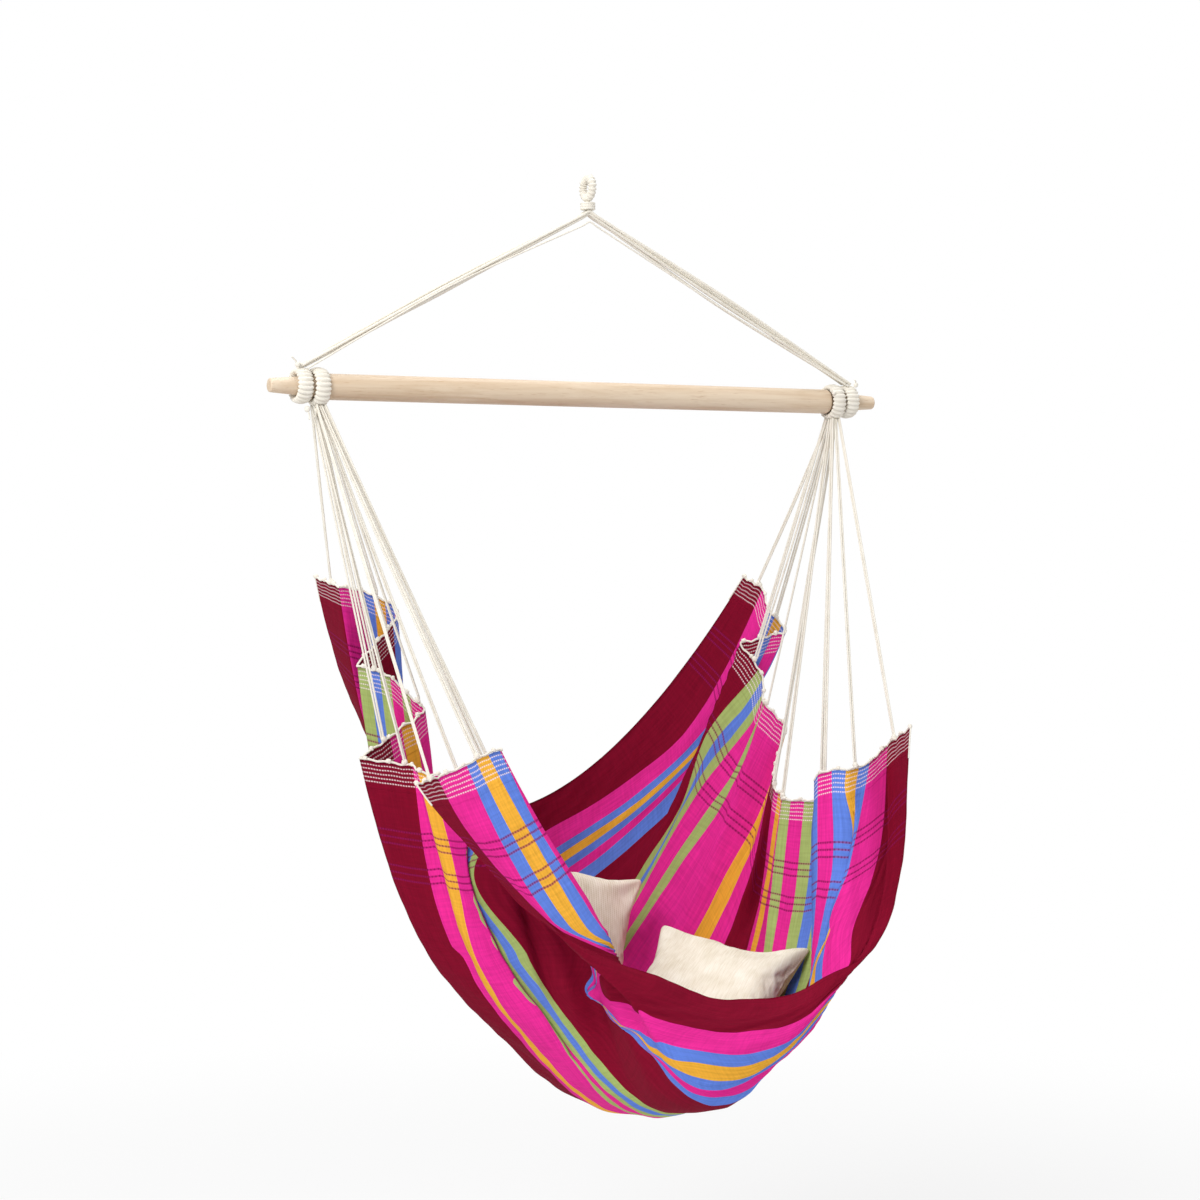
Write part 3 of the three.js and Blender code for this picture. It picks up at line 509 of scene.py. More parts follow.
# small corrections: where (share along, share across), how far it reaches each way, and the move in metres
pushes = [
    (0.22, 0.0, 0.10, 0.06, (-0.010, -0.018, -0.030)),
    (0.40, 0.0, 0.06, 0.04, (0.0, 0.0, 0.014)),
    (0.58, 0.0, 0.05, 0.04, (0.0, 0.0, -0.010)),
    (0.73, 0.0, 0.09, 0.09, (0.004, -0.004, -0.052)),
    (0.71, 0.07, 0.06, 0.07, (-0.014, 0.005, 0.012)),
    (0.76, 0.10, 0.07, 0.07, (-0.012, 0.0, 0.008)),
    (0.60, 0.19, 0.12, 0.15, (-0.040, 0.021, 0.033)),
    (0.47, 0.36, 0.09, 0.14, (0.0, 0.0, -0.012)),
    (0.36, 0.58, 0.11, 0.24, (0.018, -0.006, 0.029)),
    (0.86, 0.475, 0.10, 0.035, (0.034, 0.020, -0.005)),
]
clothSize = np.array([cloth["reach"], cloth["depth"], cloth["drop"]])


# a table's first column as shares, and its places: shares times the cloth's size, down from the bar
def inMetres(table):
    rows = np.asarray(table, float) / 1000
    return rows[:, 0], rows[:, 1:] * clothSize + np.array([0, 0, cloth["barHeight"]])


# how far u moves inwards at a hem for the scallops: a pointed wave that has its tips on the knots
def scallopDip(u, own):
    size = scallops["depth"] / cloth["length"] * (0.5 + 0.5 * np.sin(scallops["uneven"] * own + 1) ** 2)
    wave = 1 - np.abs(np.cos(np.pi * scallops["count"] * own)) ** scallops["sharpness"]
    atLeft, atRight = np.clip(1 - u / scallops["fade"], 0, 1), np.clip(1 - (1 - u) / scallops["fade"], 0, 1)
    return size * wave * (atLeft - atRight)


# the slides' shift: straight between the places across, a cubic between the rows
def slideShift(u, own):
    at = np.array(list(slides))
    across = [np.array([0, *row, 1000]) / 1000 for row in slides.values()]
    moved = [np.array([0, *row.values(), 0]) / 1000 for row in slides.values()]
    shifts = np.stack([np.interp(own, *pair) for pair in zip(across, moved)], -1)
    k, width, t = gapsOf(at, u)
    picks = [(rows, j[..., None]) for rows in (shifts, slopesOf(at, shifts)) for j in (k, k + 1)]
    return cubic(*(np.take_along_axis(rows, j, -1)[..., 0] for rows, j in picks), width, t)


# the pleats' shift, which runs the hidden width back on itself, and how far the cloth goes under there
def pleatShift(u, own):
    shift = np.zeros(u.shape)
    under = np.zeros(u.shape + (3,))
    for pleat in pleats:
        uFrom, uTo = pleat["u"]
        full = np.clip(1 - np.maximum(uFrom - u, u - uTo) / pleat["fade"], 0, 1)
        full = full * full * (3 - 2 * full)
        passed = (own - pleat["edge"]) / pleat["hidden"]
        inFold, beyond = np.clip(passed, 0, 1), np.clip(passed - 1, 0, 1)
        shift -= full * pleat["hidden"] / 2 * (1 - np.abs(2 * inFold - 1))
        under += (full * np.sin(np.pi / 2 * inFold) * (1 - beyond))[..., None] * np.array(pleat["under"])
    return shift, under


# the sheet: each strip along the warp hangs in a chain's curve from its place on one hem through the middle section to
# the other, and the hem's folds fade into it; u goes from the left hem to the right and s from the front to the back
def clothPoint(u, s, scalloped=True):
    u, own = np.broadcast_arrays(np.asarray(u, float), np.asarray(s, float))
    u = np.clip(u + scalloped * scallopDip(u, own), 0, 1)
    shift, under = pleatShift(u, own)
    shift += slideShift(u, own)
    over = np.minimum(own + shift, 0)
    s = np.clip(own + shift, 0, 1)
    onLeft = u < 0.5
    left = onLeft[..., None]
    hem = np.where(left, straightRows(*inMetres(leftHem), s), straightRows(*inMetres(rightHem), s))
    smooth = np.where(left, smoothRows(*inMetres(leftSmooth), s), smoothRows(*inMetres(rightSmooth), s))
    middle = smoothRows(*inMetres(middleSection), s)
    # how far out and up the chain's curve is at this share of the way from the middle to the hem
    way = np.abs(2 * u - 1)
    slack = cloth["slack"] + cloth["edgeSlack"] * (2 * s - 1) ** 2
    chainOut = np.arcsinh(way / slack) / np.arcsinh(1 / slack)
    chainUp = (np.sqrt(1 + (way / slack) ** 2) - 1) / (np.sqrt(1 + 1 / slack ** 2) - 1)
    steep = cloth["steep"]
    full = np.where(onLeft, 0, steep["share"] * (1 - s) ** 4)
    chainOut += (np.arcsinh(way / steep["slack"]) / np.arcsinh(1 / steep["slack"]) - chainOut) * full
    chainUp += (way ** steep["power"] - chainUp) * full
    folds = cloth["foldsLeft"]
    wholeWay = folds["from"] + (1 - folds["from"]) * np.clip((s - folds["across"]) / folds["over"], 0, 1)
    fold = np.sin(np.pi / 2 * np.minimum(1, way / np.where(onLeft, wholeWay, cloth["foldsRight"]))) ** 2
    p = middle + (smooth - middle) * np.stack([chainOut, chainUp, chainUp], -1) + (hem - smooth) * fold[..., None]
    lip = cloth["lip"]
    rim = np.sin(np.pi * way ** lip["lean"]) ** 2 * np.cos(np.pi / 2 * np.minimum(1, s / lip["width"])) ** 2
    p += rim[..., None] * np.where(left, np.array(lip["left"]) * clothSize, np.array(lip["right"]) * clothSize)
    # each push fades from its middle as a bell
    for atU, atS, reachU, reachS, move in pushes:
        p += np.exp(-((u - atU) / reachU) ** 2 - ((s - atS) / reachS) ** 2)[..., None] * np.array(move)
    # what has slid past the rim rolls over it, inwards
    p += over[..., None] * cloth["width"] * np.array(lip["roll"])
    return p + under


# the direction square to a grid of points: the product of its two slopes, made one long
def normalsOf(p):
    return unit(np.cross(np.gradient(p, axis=0), np.gradient(p, axis=1)))


# warp-striped cotton: heavy plain weave, coloured in the warp, matt with a thread's grain along the stripes, which
# are given from a selvedge to the middle in millimetres
stripes = [
    ("red", 75), ("pink", 50), ("blue", 21), ("yellow", 23), ("blue", 22), ("pink", 25), ("blue", 23), ("red", 80),
    ("green", 23), ("blue", 21), ("green", 21), ("pink", 25), ("green", 20), ("pink", 66), ("yellow", 23), ("pink", 23),
    ("red", 63),
]
# places and sizes in millimetres; the threads are drawn coarser than they are, because the real ones would not show
clothLook = {
    "red": "#7d0b28", "pink": "#e22c92", "blue": "#5f80d8", "yellow": "#e8aa3a", "green": "#a3b56b",
    # hole is a painted shade: the dark of the gaps seen through the open work, not a colour of the thread
    "seam": "#f3dfe2", "band": "#96185c", "hole": "#4a0a2a", "seamShare": 0.85, "bandShare": 0.62, "holeShare": 0.6,
    "stitchLines": (5, 11.5, 18, 24.5, 31), "stitchWide": 1.5, "stitchPitch": 3.6, "hemFold": 42,
    "bandLines": (103, 113.5, 124, 159, 170, 181), "bandWide": 2.4, "holePitch": 4.2, "hemZone": 200,
    "thread": 1.4, "roughness": 0.86, "shine": 0.06,
    # how far the threads and the lines stand out or lie in, as shares of the bump's height
    "heights": {"weave": 0.14, "stitch": -0.5, "band": -0.6}, "bump": (0.6, 0.001),
    # streaks of uneven threads along the warp, and fainter ones along the weft: size along and across, and the darkest
    # and brightest of them
    "streaks": [
        {"size": (1000 / 12, 3.5), "detail": 3.0, "rough": 0.7, "tint": (0.86, 1.12)},
        {"size": (4, 50), "detail": 2.0, "rough": 0.5, "tint": (0.93, 1.07)},
    ],
}


# threads both ways: a sine in each direction with one wave to a pitch, and the product of the two
def addThreads(tree, uv, pitches):
    perMetre = [2 * math.pi / pitch for pitch in pitches]
    place = addNode(tree, "ShaderNodeMapping", {"Vector": uv, "Scale": (*perMetre, 1.0)})
    parts = addNode(tree, "ShaderNodeSeparateXYZ", {"Vector": place})
    sines = [addNode(tree, "ShaderNodeMath", {0: parts.outputs[axis]}, operation="SINE") for axis in "XY"]
    return sines[0], addNode(tree, "ShaderNodeMath", {0: sines[0], 1: sines[1]}, operation="MULTIPLY")


# the cloth's look, from the place on the flat cloth: stripes by the distance from the nearer selvedge, and beside the
# hems lines of open work and of white stitches by the distance from the nearer hem
def clothMaterial():
    material, tree, shader = newMaterial("stripedWovenCotton")
    uv = addNode(tree, "ShaderNodeUVMap", uv_map="cloth")
    along, across, _ = addNode(tree, "ShaderNodeSeparateXYZ", {"Vector": uv}).outputs
    half = cloth["width"] / 2
    fromMiddle = addNode(tree, "ShaderNodeMath", {0: across, 1: half}, operation="SUBTRACT")
    off = addNode(tree, "ShaderNodeMath", {0: fromMiddle}, operation="ABSOLUTE")
    inside = addNode(tree, "ShaderNodeMath", {0: half, 1: off}, operation="SUBTRACT")
    share = addNode(tree, "ShaderNodeMath", {0: inside, 1: half}, operation="DIVIDE")
    striped = addNode(tree, "ShaderNodeValToRGB", {"Fac": share})
    striped.color_ramp.interpolation = "CONSTANT"
    starts = np.cumsum([0] + [width for _, width in stripes])
    shares = (starts / starts[-1]).tolist()
    setStops(striped.color_ramp, [(start, linear(clothLook[name])) for start, (name, _) in zip(shares, stripes)])
    tints = []
    for streak in clothLook["streaks"]:
        perMetre = (1000 / streak["size"][0], 1000 / streak["size"][1], 1.0)
        place = addNode(tree, "ShaderNodeMapping", {"Vector": uv, "Scale": perMetre})
        noise = addNode(tree, "ShaderNodeTexNoise", {
            "Vector": place, "Scale": 1.0, "Detail": streak["detail"], "Roughness": streak["rough"],
        })
        dark, bright = streak["tint"]
        tints.append(addNode(tree, "ShaderNodeMapRange", {
            "Value": noise, "From Min": 0.3, "From Max": 0.7, "To Min": dark, "To Max": bright,
        }))
    uneven = addNode(tree, "ShaderNodeMath", {0: tints[0], 1: tints[1]}, operation="MULTIPLY")
    colour = addNode(tree, "ShaderNodeVectorMath", {0: striped, "Scale": uneven}, operation="SCALE")
    fromRight = addNode(tree, "ShaderNodeMath", {0: cloth["length"], 1: along}, operation="SUBTRACT")
    nearHem = addNode(tree, "ShaderNodeMath", {0: along, 1: fromRight}, operation="MINIMUM")
    hemShare = addNode(tree, "ShaderNodeMath", {0: nearHem, 1: clothLook["hemZone"] / 1000}, operation="DIVIDE")
    # each line is a ramp up, a level top and a ramp down, by its own width
    lines = {}
    for kind in ("stitch", "band"):
        stops = [(0.0, 0)]
        for line in clothLook[kind + "Lines"]:
            for offset, value in ((-0.8, 0), (-0.35, 1), (0.35, 1), (0.8, 0)):
                stops.append(((line + offset * clothLook[kind + "Wide"]) / clothLook["hemZone"], value))
        stops.append((1.0, 0))
        lines[kind] = addNode(tree, "ShaderNodeValToRGB", {"Fac": hemShare})
        setStops(lines[kind].color_ramp, [(position, (value, value, value, 1)) for position, value in stops])
    # over the stripes lie the bands, their holes and the stitches; the holes are painted dark, a painted shade for the
    # gaps seen through the open work; holes and stitches are dashes, where a sine of the place across is high enough
    overlays = (("band", "band", None), ("band", "hole", (0.0, 0.6)), ("stitch", "seam", (-0.75, -0.25)))
    for kind, look, dashes in overlays:
        mask = lines[kind]
        if dashes:
            pitch = clothLook["holePitch" if look == "hole" else "stitchPitch"]
            wave = addNode(tree, "ShaderNodeMath", {0: across, 1: 2000 * math.pi / pitch}, operation="MULTIPLY")
            sine = addNode(tree, "ShaderNodeMath", {0: wave}, operation="SINE")
            dash = addNode(tree, "ShaderNodeMapRange", {"Value": sine, "From Min": dashes[0], "From Max": dashes[1]})
            mask = addNode(tree, "ShaderNodeMath", {0: mask, 1: dash}, operation="MULTIPLY")
        part = addNode(tree, "ShaderNodeMath", {0: mask, 1: clothLook[look + "Share"]}, operation="MULTIPLY")
        colour = addNode(tree, "ShaderNodeMix", {
            "Factor": part, mixA: colour, mixB: linear(clothLook[look]),
        }, data_type="RGBA")
    # height: the edge of the turned hem, threads both ways, and the lines pulled in
    fold = clothLook["hemFold"] / 1000
    height = addNode(tree, "ShaderNodeMapRange", {
        "Value": nearHem, "From Min": fold - 0.001, "From Max": fold + 0.001, "To Min": 1.0, "To Max": 0.0,
    })
    weave = addThreads(tree, uv, (clothLook["thread"] / 1000, clothLook["thread"] / 1000))[1]
    for kind, part in (("weave", weave), *lines.items()):
        amount = clothLook["heights"][kind]
        height = addNode(tree, "ShaderNodeMath", {0: part, 1: amount, 2: height}, operation="MULTIPLY_ADD")
    strength, distance = clothLook["bump"]
    bump = addNode(tree, "ShaderNodeBump", {"Height": height, "Strength": strength, "Distance": distance})
    feed(tree, shader, {
        "Base Color": colour, "Roughness": clothLook["roughness"], "Specular IOR Level": clothLook["shine"],
        "Normal": bump,
    })
    return material


# the seat cloth: a grid on clothPoint, moved along its normals by slow waves that cross at a slant and fade to the
# hems, with half its thickness to each side; its places on the flat cloth are shares of each warp's length
def makeCloth():
    u = np.linspace(0, 1, cloth["alongCells"] + 1)
    # finer cells in the front stripe, which the slides stretch most
    firstStripe = stripes[0][1] / (2 * sum(width for _, width in stripes))
    front = np.linspace(0, firstStripe, cloth["edgeCells"] + 1)[:-1]
    s = np.concatenate([front, np.linspace(firstStripe, 1, cloth["acrossCells"] + 1)])
    points = clothPoint(u[:, None], s[None, :])
    level = clothPoint(u[:, None], s[None, :], scalloped=False)
    run = np.concatenate([np.zeros((1, len(s))), np.cumsum(np.linalg.norm(np.diff(level, axis=0), axis=2), axis=0)])
    print("warp lengths", run[-1, ::24].round(3), "mean", run[-1].mean().round(3))
    normals = normalsOf(points)
    across = np.broadcast_to(s * cloth["width"], run.shape)
    longerAcross, longerAlong = cloth["crossing"]
    for height, alongLength, acrossLength, turn in cloth["wrinkles"]:
        wave = np.sin(2 * np.pi * (run / alongLength + across / acrossLength) + turn)
        crossing = across / (longerAcross * abs(acrossLength)) - run / (longerAlong * alongLength)
        wave = wave * np.sin(2 * np.pi * crossing + 2 * turn)
        points = points + normals * (height * wave * np.sin(np.pi * u)[:, None])[..., None]
    out = normalsOf(points) * cloth["thickness"] / 2
    mesh = twoSkins("stripedSeatCloth", points + out, points - out)
    places = np.stack([run / run[-1:] * cloth["length"], across], -1).reshape(-1, 2)
    layFlat(mesh, "cloth", np.concatenate([places, places]))
    mesh.shade_smooth()
    mesh.materials.append(clothMaterial())
    piece = bpy.data.objects.new("stripedSeatCloth", mesh)
    bpy.context.scene.collection.objects.link(piece)
    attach(piece, "sling")
    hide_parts("seat_cloth")


makeCloth()
print("cloth made")

# cords along the hems and at the corners: their sizes, how far outside the cloth they run, and the knots' radii
hemCord = {
    "dia": 0.0034, "pitch": 0.006, "out": 0.0023, "cells": 480, "step": 0.0012, "inside": 0.03,
    "knot": 0.0034, "knotOut": 0.001, "knotVaries": 0.12, "footKnot": 0.0044,
    "cornerDia": 0.0026, "cornerOut": 0.0012, "cornerStep": 0.001, "cornerPast": 1.1,
}
eyePlace = {"left": (-0.435, 0, -0.3197), "right": (0.435, 0, -0.3197)}


# a tight overhand knot: a short fat barrel whose turns wind round it at a slant
def knotGrid(centre, along, radius, turn=0.0):
    along = unit(np.asarray(along, float))
    side = unit(np.cross(along, (0.31, 0.52, 0.79)))
    up = np.cross(along, side)
    t = np.linspace(-1, 1, 11)[:, None]
    a = np.linspace(0, 2 * np.pi, 12, endpoint=False)[None, :]
    barrel = radius * (1 - np.abs(t) ** 3) ** 0.5 * (0.84 + 0.16 * np.abs(np.cos(2.4 * t + a + turn)))
    barrel = np.maximum(barrel, 0.0002)[..., None]
    grid = np.asarray(centre)[None, None, :] + (t * radius * 1.15)[..., None] * along
    return grid + barrel * (np.cos(a)[..., None] * side + np.sin(a)[..., None] * up)


for sideName, atU, inU in (("left", 0.0, hemCord["inside"]), ("right", 1.0, 1 - hemCord["inside"])):
    cells = hemCord["cells"]
    s = np.linspace(0, 1, cells + 1)
    edge = clothPoint(atU, s)
    # outside the cloth, halfway between its own direction and that of the eye
    out = unit(unit(edge - clothPoint(inU, s)) + unit(np.array(eyePlace[sideName]) - edge))
    line = edge + out * hemCord["out"]
    path = smoothPath(line[::3], hemCord["step"])
    grids = [ropeGrid(path, hemCord["dia"], hemCord["pitch"], towards=(1, 0, 0), around=9)]
    steps = np.array([line[min(cells, at + 3)] - line[max(0, at - 3)] for at in range(cells + 1)])
    # the scallops' tips carry the small knots, every third one across the cord
    for k in range(scallops["count"] + 1):
        at = int(round(cells * k / scallops["count"]))
        size = hemCord["knot"] * (1 + hemCord["knotVaries"] * math.sin(2.7 * k))
        grids.append(knotGrid(line[at] + out[at] * hemCord["knotOut"], steps[at] if k % 3 else out[at], size, k))
    # and each cord of the clew ends in a knot on the hem cord
    for k in range(12):
        foot = endsOf(f"clew_cord_{sideName}_{k + 1}", (0, 0, 1))[1]
        near = np.linalg.norm(line - foot, axis=1).argmin()
        lean = out[near] + 0.4 * math.sin(k) * steps[near] / 0.01
        grids.append(knotGrid(line[near] * 0.5 + foot * 0.5, lean, hemCord["footKnot"], 0.7 * k))
    piece = addPiece("hemCord" + sideName.title(), grids, cordMaterial, "sling")
    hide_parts(f"hem_cord_{sideName}")
    for endName, atS, inS in (("front", 0.0, hemCord["inside"]), ("back", 1.0, 1 - hemCord["inside"])):
        u = atU + (inU - atU) * np.linspace(0, hemCord["cornerPast"], 12)
        edge = clothPoint(u, atS)
        out = unit(edge - clothPoint(u, inS))
        path = smoothPath(edge + out * hemCord["cornerOut"], hemCord["cornerStep"])
        rope = ropeGrid(path, hemCord["cornerDia"], hemCord["pitch"], towards=(0, 1, 0), around=8)
        piece = addPiece(f"cornerCord{endName.title()}{sideName.title()}", [rope], cordMaterial, "sling")
        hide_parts(f"corner_cord_{endName}_{sideName}")
print("hem cords made")

# hanging loop, its whipping, and the wrapped eyes on the bar: rings about X with a fine cord wound round them; each
# turn of the winding is a rounded rib that leans a little. halfX and halfR are half the section along X and along the
# radius, depth is how deep the gaps between the turns are
wound = {
    "loop": {"radius": 0.015, "halfX": 0.0065, "halfR": 0.0065, "turns": 18, "depth": 0.0026, "lean": 0.5},
    "eye": {"halfX": 0.012, "halfR": 0.00575, "turns": 22, "depth": 0.0028, "lean": 1.4},
    "whipping": {"turns": 3, "depth": 0.0012, "around": 40},
}


# a wound ring: an oval section carried round a circle about X, less deep between the turns
def woundRing(centre, radius, halfX, halfR, turns, depth, lean):
    a = np.linspace(0, 2 * np.pi, turns * 10, endpoint=False)[:, None]
    b = np.linspace(0, 2 * np.pi, 28, endpoint=False)[None, :]
    rib = np.abs(np.cos(0.5 * (turns * a + lean * np.cos(b)))) ** 0.8
    cut = depth * (1 - rib)
    out = np.stack([np.zeros_like(a), np.sin(a), np.cos(a)], -1)
    p = out * (radius + (halfR - cut) * np.cos(b))[..., None]
    p[..., 0] += (halfX - cut) * np.sin(b)
    return p + np.array(centre)


loopCentre = [(lo + hi) / 2 for lo, hi in zip(*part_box("hanging_loop"))]
ring = woundRing(loopCentre, **wound["loop"])
piece = addPiece("woundHangingLoop", [ring], cordMaterial, "loop", wrapRows=True)
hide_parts("hanging_loop")
# knots and cut ends of the winding cord on the eyes: knot place, direction and size, and where its tail ends
eyeKnots = {
    "bridle_eye_left": [
        ((-0.4705, -0.012, -0.2885), (0.4, -0.2, 1.0), 0.0040, (-0.481, -0.016, -0.279)),
        ((-0.4575, -0.016, -0.3525), (0.2, 0.1, 1.0), 0.0042, (-0.4555, -0.019, -0.3675)),
    ],
    "clew_eye_left": [((-0.4415, -0.010, -0.3535), (0.5, 0.2, 1.0), 0.0034, (-0.4465, -0.013, -0.365))],
    "clew_eye_right": [((0.4235, -0.0235, -0.3065), (1.0, 0.1, 0.4), 0.0033, (0.4165, -0.0240, -0.3035))],
    "bridle_eye_right": [((0.4685, -0.017, -0.2925), (0.3, 0.2, 1.0), 0.0036, (0.4645, -0.020, -0.2845))],
}
tail = {"dia": 0.0026, "pitch": 0.006, "step": 0.001, "bend": np.array([0.001, 0.0, 0.0])}
for kind, body in (("clew", "sling"), ("bridle", "bridle")):
    for sideName in ("left", "right"):
        node = f"{kind}_eye_{sideName}"
        lo, hi = (np.array(c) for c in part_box(node))
        radius = (hi[2] - lo[2]) / 2 - wound["eye"]["halfR"]
        ring = woundRing((lo + hi) / 2, radius, **wound["eye"])
        piece = addPiece(f"{kind}Eye{sideName.title()}", [ring], cordMaterial, body, wrapRows=True)
        knots = []
        for place, along, knotSize, tip in eyeKnots[node]:
            path = smoothPath([place, (np.array(place) + tip) / 2 + tail["bend"], tip], tail["step"])
            knots.append(knotGrid(place, along, knotSize))
            knots.append(ropeGrid(path, tail["dia"], tail["pitch"], towards=(0.3, 1, 0), around=8))
        addPiece(f"{kind}EyeKnots{sideName.title()}", knots, cordMaterial, body)
        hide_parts(node)
# whipping: a lathe profile of rounded turns about a standing axis
lo, hi = (np.array(c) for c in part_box("throat_whipping"))
turns = wound["whipping"]["turns"]
z = np.linspace(0, 1, turns * 10 + 1)[:, None]
r = (hi[0] - lo[0]) / 2 - wound["whipping"]["depth"] * (1 - np.abs(np.sin(np.pi * turns * z)) ** 0.6)
a = np.linspace(0, 2 * np.pi, wound["whipping"]["around"], endpoint=False)
ring = np.stack([r * np.cos(a), r * np.sin(a), np.broadcast_to(z * (hi[2] - lo[2]), (len(z), len(a)))], -1)
foot = np.array([(lo[0] + hi[0]) / 2, (lo[1] + hi[1]) / 2, lo[2]])
piece = addPiece("throatWhipping", [ring + foot], cordMaterial, "throat")
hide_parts("throat_whipping")
print("loop and eyes made")

# spreader bar: turned, with rounded shoulders and tapered ends
bar = {
    "length": 1.02, "dia": 0.038, "height": -0.319, "shoulder": 0.42, "shoulderRound": 0.005, "spigotDia": 0.033,
    "tipDia": 0.0205, "tipRound": 0.003, "around": 64,
}
quarter = np.linspace(0, np.pi / 2, 7)
middleRadius, spigotRadius, tipRadius = bar["dia"] / 2, bar["spigotDia"] / 2, bar["tipDia"] / 2
tipX = bar["length"] / 2 - bar["tipRound"] + bar["tipRound"] * np.sin(quarter)
tipR = tipRadius - bar["tipRound"] + bar["tipRound"] * np.cos(quarter)
shoulderX = bar["shoulder"] + bar["shoulderRound"] * np.sin(quarter)
shoulderR = spigotRadius + (middleRadius - spigotRadius) * np.cos(quarter)
straightX = np.linspace(0, bar["shoulder"], 30)[:-1]
halfX = np.concatenate([straightX, shoulderX, np.linspace(shoulderX[-1], tipX[0], 8)[1:-1], tipX])
halfR = np.concatenate([
    np.full(len(straightX), middleRadius), shoulderR, np.linspace(spigotRadius, tipRadius, 8)[1:-1], tipR,
])
profileX = np.concatenate([-halfX[:0:-1], halfX])[:, None]
profileR = np.concatenate([halfR[:0:-1], halfR])[:, None]
a = np.linspace(0, 2 * np.pi, bar["around"], endpoint=False)
rings = (np.broadcast_to(profileX, (len(profileX), len(a))), profileR * np.cos(a), profileR * np.sin(a) + bar["height"])
piece = addPiece("turnedSpreaderBar", [np.stack(rings, -1)], woodMaterial, "bar")
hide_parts("spreader_bar")
print("bar made")

# cushions, each made in its own frame: x along one edge, y down the other, z up from the middle of the pad
cushion = {
    "drawIn": 0.055, "seam": 0.005, "crown": 0.42, "cells": 44, "voxel": 0.005, "startShare": 0.9,
    "frames": 20, "cap": 0.024, "ear": 0.04,
    # the seam's ridge: how far out, how high a band, and from which share of the half side
    "ridge": {"size": 0.0016, "band": 0.0022, "from": 0.8},
    # the folds that run out from each corner: height, how many to a whole turn, where they are highest, how far they
    # reach, and how near the seam they fade
    "folds": {"size": 0.0022, "count": 9, "away": 0.055, "reach": 0.035, "fade": 0.01},
}
air = {
    "quality": 5, "mass": 0.3, "tension_stiffness": 12, "compression_stiffness": 6, "bending_stiffness": 0.3,
    "use_pressure": True, "uniform_pressure_force": 4.0,
}
# a lift is a place as shares of half the side, how far it reaches in metres, and how far it moves each way; a corner's
# move fades to the others
cushions = {
    "back": {
        "side": 0.29, "height": 0.098, "edge": (-0.95, 0.0, 0.30), "down": (-0.2, -0.42, -0.88),
        "corners": {(-1, -1): (-0.006, 0.0), (1, 1): (-0.03, -0.03), (1, -1): (0.0, -0.006)},
        "lifts": [(-1.0, -1.0, 0.045, (0.0, 0.0, 0.012)), (0.1, -1.0, 0.09, (0.0, -0.006, 0.0))],
    },
    "front": {
        "side": 0.25, "height": 0.084, "edge": (0.66, -0.745, -0.07), "down": (-0.694, -0.515, -0.495),
        "corners": {(-1, -1): (0.034, 0.0), (1, -1): (0.019, 0.0), (1, 1): (0.016, 0.0)},
        "lifts": [
            (-1.0, -1.0, 0.05, (0.0, 0.0, 0.020)), (-0.25, -1.0, 0.05, (0.0, 0.0, 0.008)),
            (0.35, -0.9, 0.045, (0.0, 0.0, -0.012)), (1.0, -1.0, 0.05, (0.0, 0.0, 0.012)),
        ],
    },
}
# natural cotton covers: the pitch of the threads across and along in metres, and how much the ones along y stand out,
# in height and in the painted shade between them
covers = {
    "back": {"name": "ribbedNaturalCotton", "pitches": (0.0041, 0.0032), "ribs": 0.9},
    "front": {"name": "plainNaturalCotton", "pitches": (0.0024, 0.0021), "ribs": 0.15},
}
cottonLook = {
    "shade": "#d3c6aa", "pale": "#faf4e6", "slub": (0.002, 0.02), "patch": 0.035, "threadShare": 0.2,
    "toneRange": (0.45, 1.4), "roughness": 0.95, "shine": 0.2, "bump": (0.55, 0.0012),
}


# woven natural cotton, matt: threads both ways, thicker threads here and there, and slow patches, added into one tone
# for both colour and height, so the colour is darker in the grooves between the threads as painted shade, while the
# slubs and patches are the cotton's own uneven tone; the threads are drawn coarser than they are, because the real ones
# would not show
def cushionMaterial(name, pitches, ribs):
    material, tree, shader = newMaterial(name)
    uv = addNode(tree, "ShaderNodeUVMap", uv_map="cushion")
    sine, weave = addThreads(tree, uv, pitches)
    ribbed = addNode(tree, "ShaderNodeMath", {0: sine, 1: ribs, 2: weave}, operation="MULTIPLY_ADD")
    perMetre = (1 / cottonLook["slub"][0], 1 / cottonLook["slub"][1], 1.0)
    slubPlace = addNode(tree, "ShaderNodeMapping", {"Vector": uv, "Scale": perMetre})
    slubs = addNode(tree, "ShaderNodeTexNoise", {"Vector": slubPlace, "Scale": 1.0, "Detail": 3.0})
    patches = addNode(tree, "ShaderNodeTexNoise", {"Vector": uv, "Scale": 1 / cottonLook["patch"], "Detail": 2.0})
    level = addNode(tree, "ShaderNodeMath", {0: slubs, 1: patches}, operation="ADD")
    # the threads' part of the tone darkens the colour in the grooves between them: painted shade; the slubs and patches
    # are the cotton's own uneven tone
    tone = addNode(tree, "ShaderNodeMath", {0: ribbed, 1: cottonLook["threadShare"], 2: level}, operation="MULTIPLY_ADD")
    low, high = cottonLook["toneRange"]
    factor = addNode(tree, "ShaderNodeMapRange", {"Value": tone, "From Min": low, "From Max": high})
    tint = addNode(tree, "ShaderNodeMix", {
        "Factor": factor, mixA: linear(cottonLook["shade"]), mixB: linear(cottonLook["pale"]),
    }, data_type="RGBA")
    strength, distance = cottonLook["bump"]
    bump = addNode(tree, "ShaderNodeBump", {"Height": tone, "Strength": strength, "Distance": distance})
    feed(tree, shader, {
        "Base Color": tint, "Roughness": cottonLook["roughness"], "Specular IOR Level": cottonLook["shine"],
        "Normal": bump,
    })
    return material


# the mesh as its modifiers leave it
def applied(piece):
    graph = bpy.context.evaluated_depsgraph_get()
    mesh = bpy.data.meshes.new_from_object(piece.evaluated_get(graph))
    piece.modifiers.clear()
    old = piece.data
    piece.data = mesh
    bpy.data.meshes.remove(old)
    return mesh


